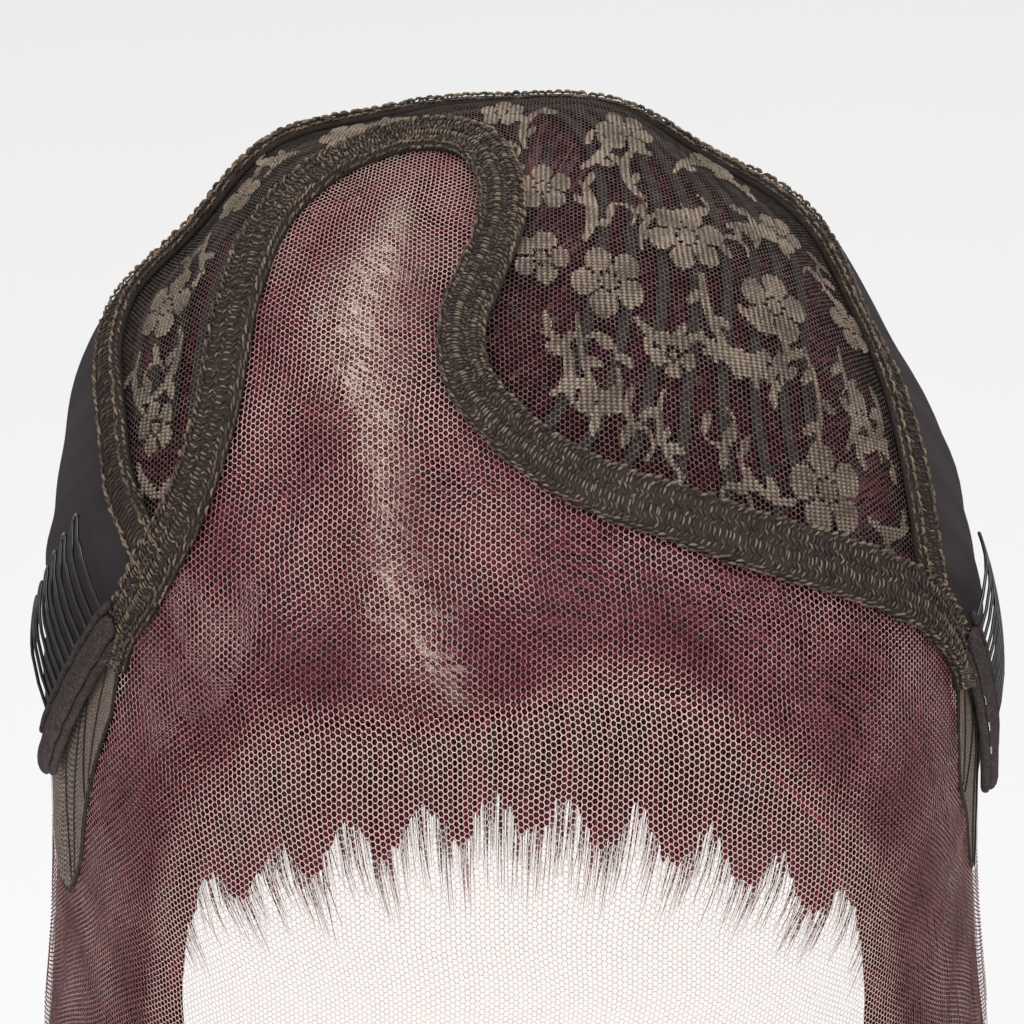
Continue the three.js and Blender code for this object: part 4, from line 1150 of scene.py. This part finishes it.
weft_section = [
    (0.95, -0.35), (0.95, 0.15), (0.45, 0.4), (0, 0.15), (-0.45, 0.4), (-0.95, 0.15), (-0.95, -0.35)]
weft_parts = []
weft_nodes = []
WEFT_STEPS = 52
WEFT_HEIGHT = -1.85
for side, (count, first, last) in WEFT_ROWS.items():
    for k in range(count):
        row = np.array(first) + (np.array(last) - first) * k / (count - 1)
        start_around, start_up, end_around, end_up = row
        t = np.linspace(0, 1, WEFT_STEPS)
        around = start_around + (end_around - start_around) * t ** WEFT_BEND
        n = unit(weft_at(around, CROWN_SHARE * (start_up + (end_up - start_up) * t)))[None]
        ripple = 1 + 0.1 * np.sin(np.arange(WEFT_STEPS) * 2.1)
        path = on_head(n, np.full(WEFT_STEPS, WEFT_HEIGHT))
        weft_parts.append(tubes(path, n, weft_section, True, ripple[None], EVEN_TONE))
        weft_nodes.append(f"{side}_weft_{k + 1}")
add_parts("weft_rows", joined(weft_parts), weft_look, "hair", weft_nodes)


def strand_ribbons(at, s, v, height, width):
    """Flat strands through grids of s and v, one row to a strand."""
    n = unit(at(s, v))
    taper = np.concatenate([np.ones(s.shape[1] - 3), [0.8, 0.5, 0.12]])
    return tubes(on_head(n, height), n, flat_thread, False, width[:, None] * taper)


STEPS = 8
LIFTS = (0.02, 0.3)
STRAND_WIDTHS = (0.25, 0.6)
END_WIDTHS = (0.2, 0.45)
grow = np.linspace(0, 1, STEPS)


def wefted_strands(count, high):
    root = rng.random((count, 1))
    from_crown = rng.random((count, 1)) < 0.35
    start = np.where(from_crown, rng.random((count, 1)) * 0.3, 0.3 + 0.45 * rng.random((count, 1)))
    end = rng.uniform(0.93, 1.03, (count, 1))
    stray = np.where(rng.random((count, 1)) < 0.3, 0.02, 0.006)
    s = round_s(np.clip(root + rng.normal(0, 1, (count, 1)) * stray * grow, 0, 1))
    v = start + (end - start) * grow
    outer, inner = weft_faces(s, v, unit(weft_at(s, v)))
    lift = rng.uniform(*LIFTS, (count, 1))
    height = outer + lift if high else inner - lift
    return strand_ribbons(weft_at, s, v, height, rng.uniform(*STRAND_WIDTHS, count))


def end_strands(count):
    """Fine ends of many lengths that hang from the edge of the wefted hair."""
    root = rng.random((count, 1))
    s = round_s(np.clip(root + rng.normal(0, 1, (count, 1)) * 0.008 * grow, 0, 1))
    start = rng.uniform(0.78, 0.9, (count, 1))
    end = rng.uniform(0.97, 1.06, (count, 1))
    v = start + (end - start) * grow
    outer, inner = weft_faces(s, v, unit(weft_at(s, v)))
    height = inner + (outer - inner) * rng.random((count, 1))
    return strand_ribbons(weft_at, s, v, height, rng.uniform(*END_WIDTHS, count))


part_v = np.linspace(0.02, 0.98, 40)
part_s = np.linspace(0.3, 0.7, 240)
grid_s, grid_v = np.meshgrid(part_s, part_v)
far = nearest(on_head(unit(front_at(grid_s, grid_v)).reshape(-1, 3)), parting_points).reshape(grid_s.shape)
part_at = part_s[far.argmin(axis=1)]


def front_strands(count, high):
    """Strands from beside the parting to the side falls."""
    right_side = rng.random((count, 1)) < 0.5
    row = rng.random((count, 1)) * 0.93
    middle = np.interp(row, part_v, part_at)
    reach = np.where(right_side, 1.0, 0.0)
    begin = middle + (reach - middle) * (0.025 + 0.7 * rng.random((count, 1)) ** 1.5)
    long = rng.uniform(0.5, 1.0, (count, 1))
    s = begin + (reach - begin) * long * grow
    v = np.maximum(row + rng.uniform(-0.045, 0.045, (count, 1)) * grow, 0.01)
    outer, inner = front_faces(s, v, unit(front_at(s, v)))
    lift = rng.uniform(*LIFTS, (count, 1))
    height = outer + lift if high else inner - lift
    return strand_ribbons(front_at, s, v, height, rng.uniform(*STRAND_WIDTHS, count))


wefted = [wefted_strands(2300, high=True), wefted_strands(1300, high=False), end_strands(1400)]
add_parts("wefted_strands", joined(wefted), hair_look, "hair")
front = [front_strands(2200, high=True), front_strands(600, high=False)]
add_parts("front_strands", joined(front), hair_look, "hair")

# Floor, light and camera

FLOOR = -0.5
WORLD_STRENGTH = 0.75
bpy.ops.mesh.primitive_plane_add(size=12, location=(0, 0, FLOOR))
floor = bpy.context.object
floor.name = "floor"
floor_look = Look("floor", 0.9, 0.2)
floor_look.colour(floor_look.noise(3), [(0.3, (224, 224, 224)), (0.7, (225, 225, 225))])
floor.data.materials.append(floor_look.material)

world = bpy.data.worlds.new("studio")
bpy.context.scene.world = world
world.use_nodes = True
world.node_tree.nodes["Background"].inputs["Color"].default_value = (1, 1, 1, 1)
world.node_tree.nodes["Background"].inputs["Strength"].default_value = WORLD_STRENGTH


def area_light(name, place, size, power):
    data = bpy.data.lights.new(name, "AREA")
    data.energy = power
    data.size = size
    lamp = bpy.data.objects.new(name, data)
    lamp.location = place
    lamp.rotation_euler = (-Vector(place)).to_track_quat("-Z", "Y").to_euler()
    bpy.context.scene.collection.objects.link(lamp)
    return lamp


area_light("key", (-0.7, -1.0, 1.3), size=0.9, power=14)
area_light("fill", (1.1, -0.7, 0.9), size=0.9, power=7)
area_light("back", (0.1, 0.6, 1.4), size=0.8, power=9)
area_light("front", (0.1, -1.6, 0.35), size=1.0, power=5)
below = area_light("below", (0, -0.1, -0.42), size=0.25, power=6)
below.visible_camera = False
below.data.specular_factor = 0

ELEVATION = 38
AZIMUTH = 2
DISTANCE = 1.0
PICTURE = 1024
PIXELS_PER_METRE = 5800
AIM_UP = 133
AIM_LEFT = 5
SENSOR = 36
tilt, swing = np.radians(ELEVATION), np.radians(AZIMUTH)
back = Vector((np.sin(swing) * np.cos(tilt), -np.cos(swing) * np.cos(tilt), np.sin(tilt)))
image_right = Vector((np.cos(swing), np.sin(swing), 0))
image_up = back.cross(image_right)
aim = image_up * (AIM_UP / PIXELS_PER_METRE) - image_right * (AIM_LEFT / PIXELS_PER_METRE)
camera_data = bpy.data.cameras.new("camera")
camera_data.sensor_width = SENSOR
camera_data.lens = SENSOR * PIXELS_PER_METRE * DISTANCE / PICTURE
camera = bpy.data.objects.new("camera", camera_data)
camera.location = back * DISTANCE
camera.rotation_euler = (aim - camera.location).to_track_quat("-Z", "Y").to_euler()
bpy.context.scene.collection.objects.link(camera)
bpy.context.scene.camera = camera
bpy.context.scene.view_settings.view_transform = "Standard"
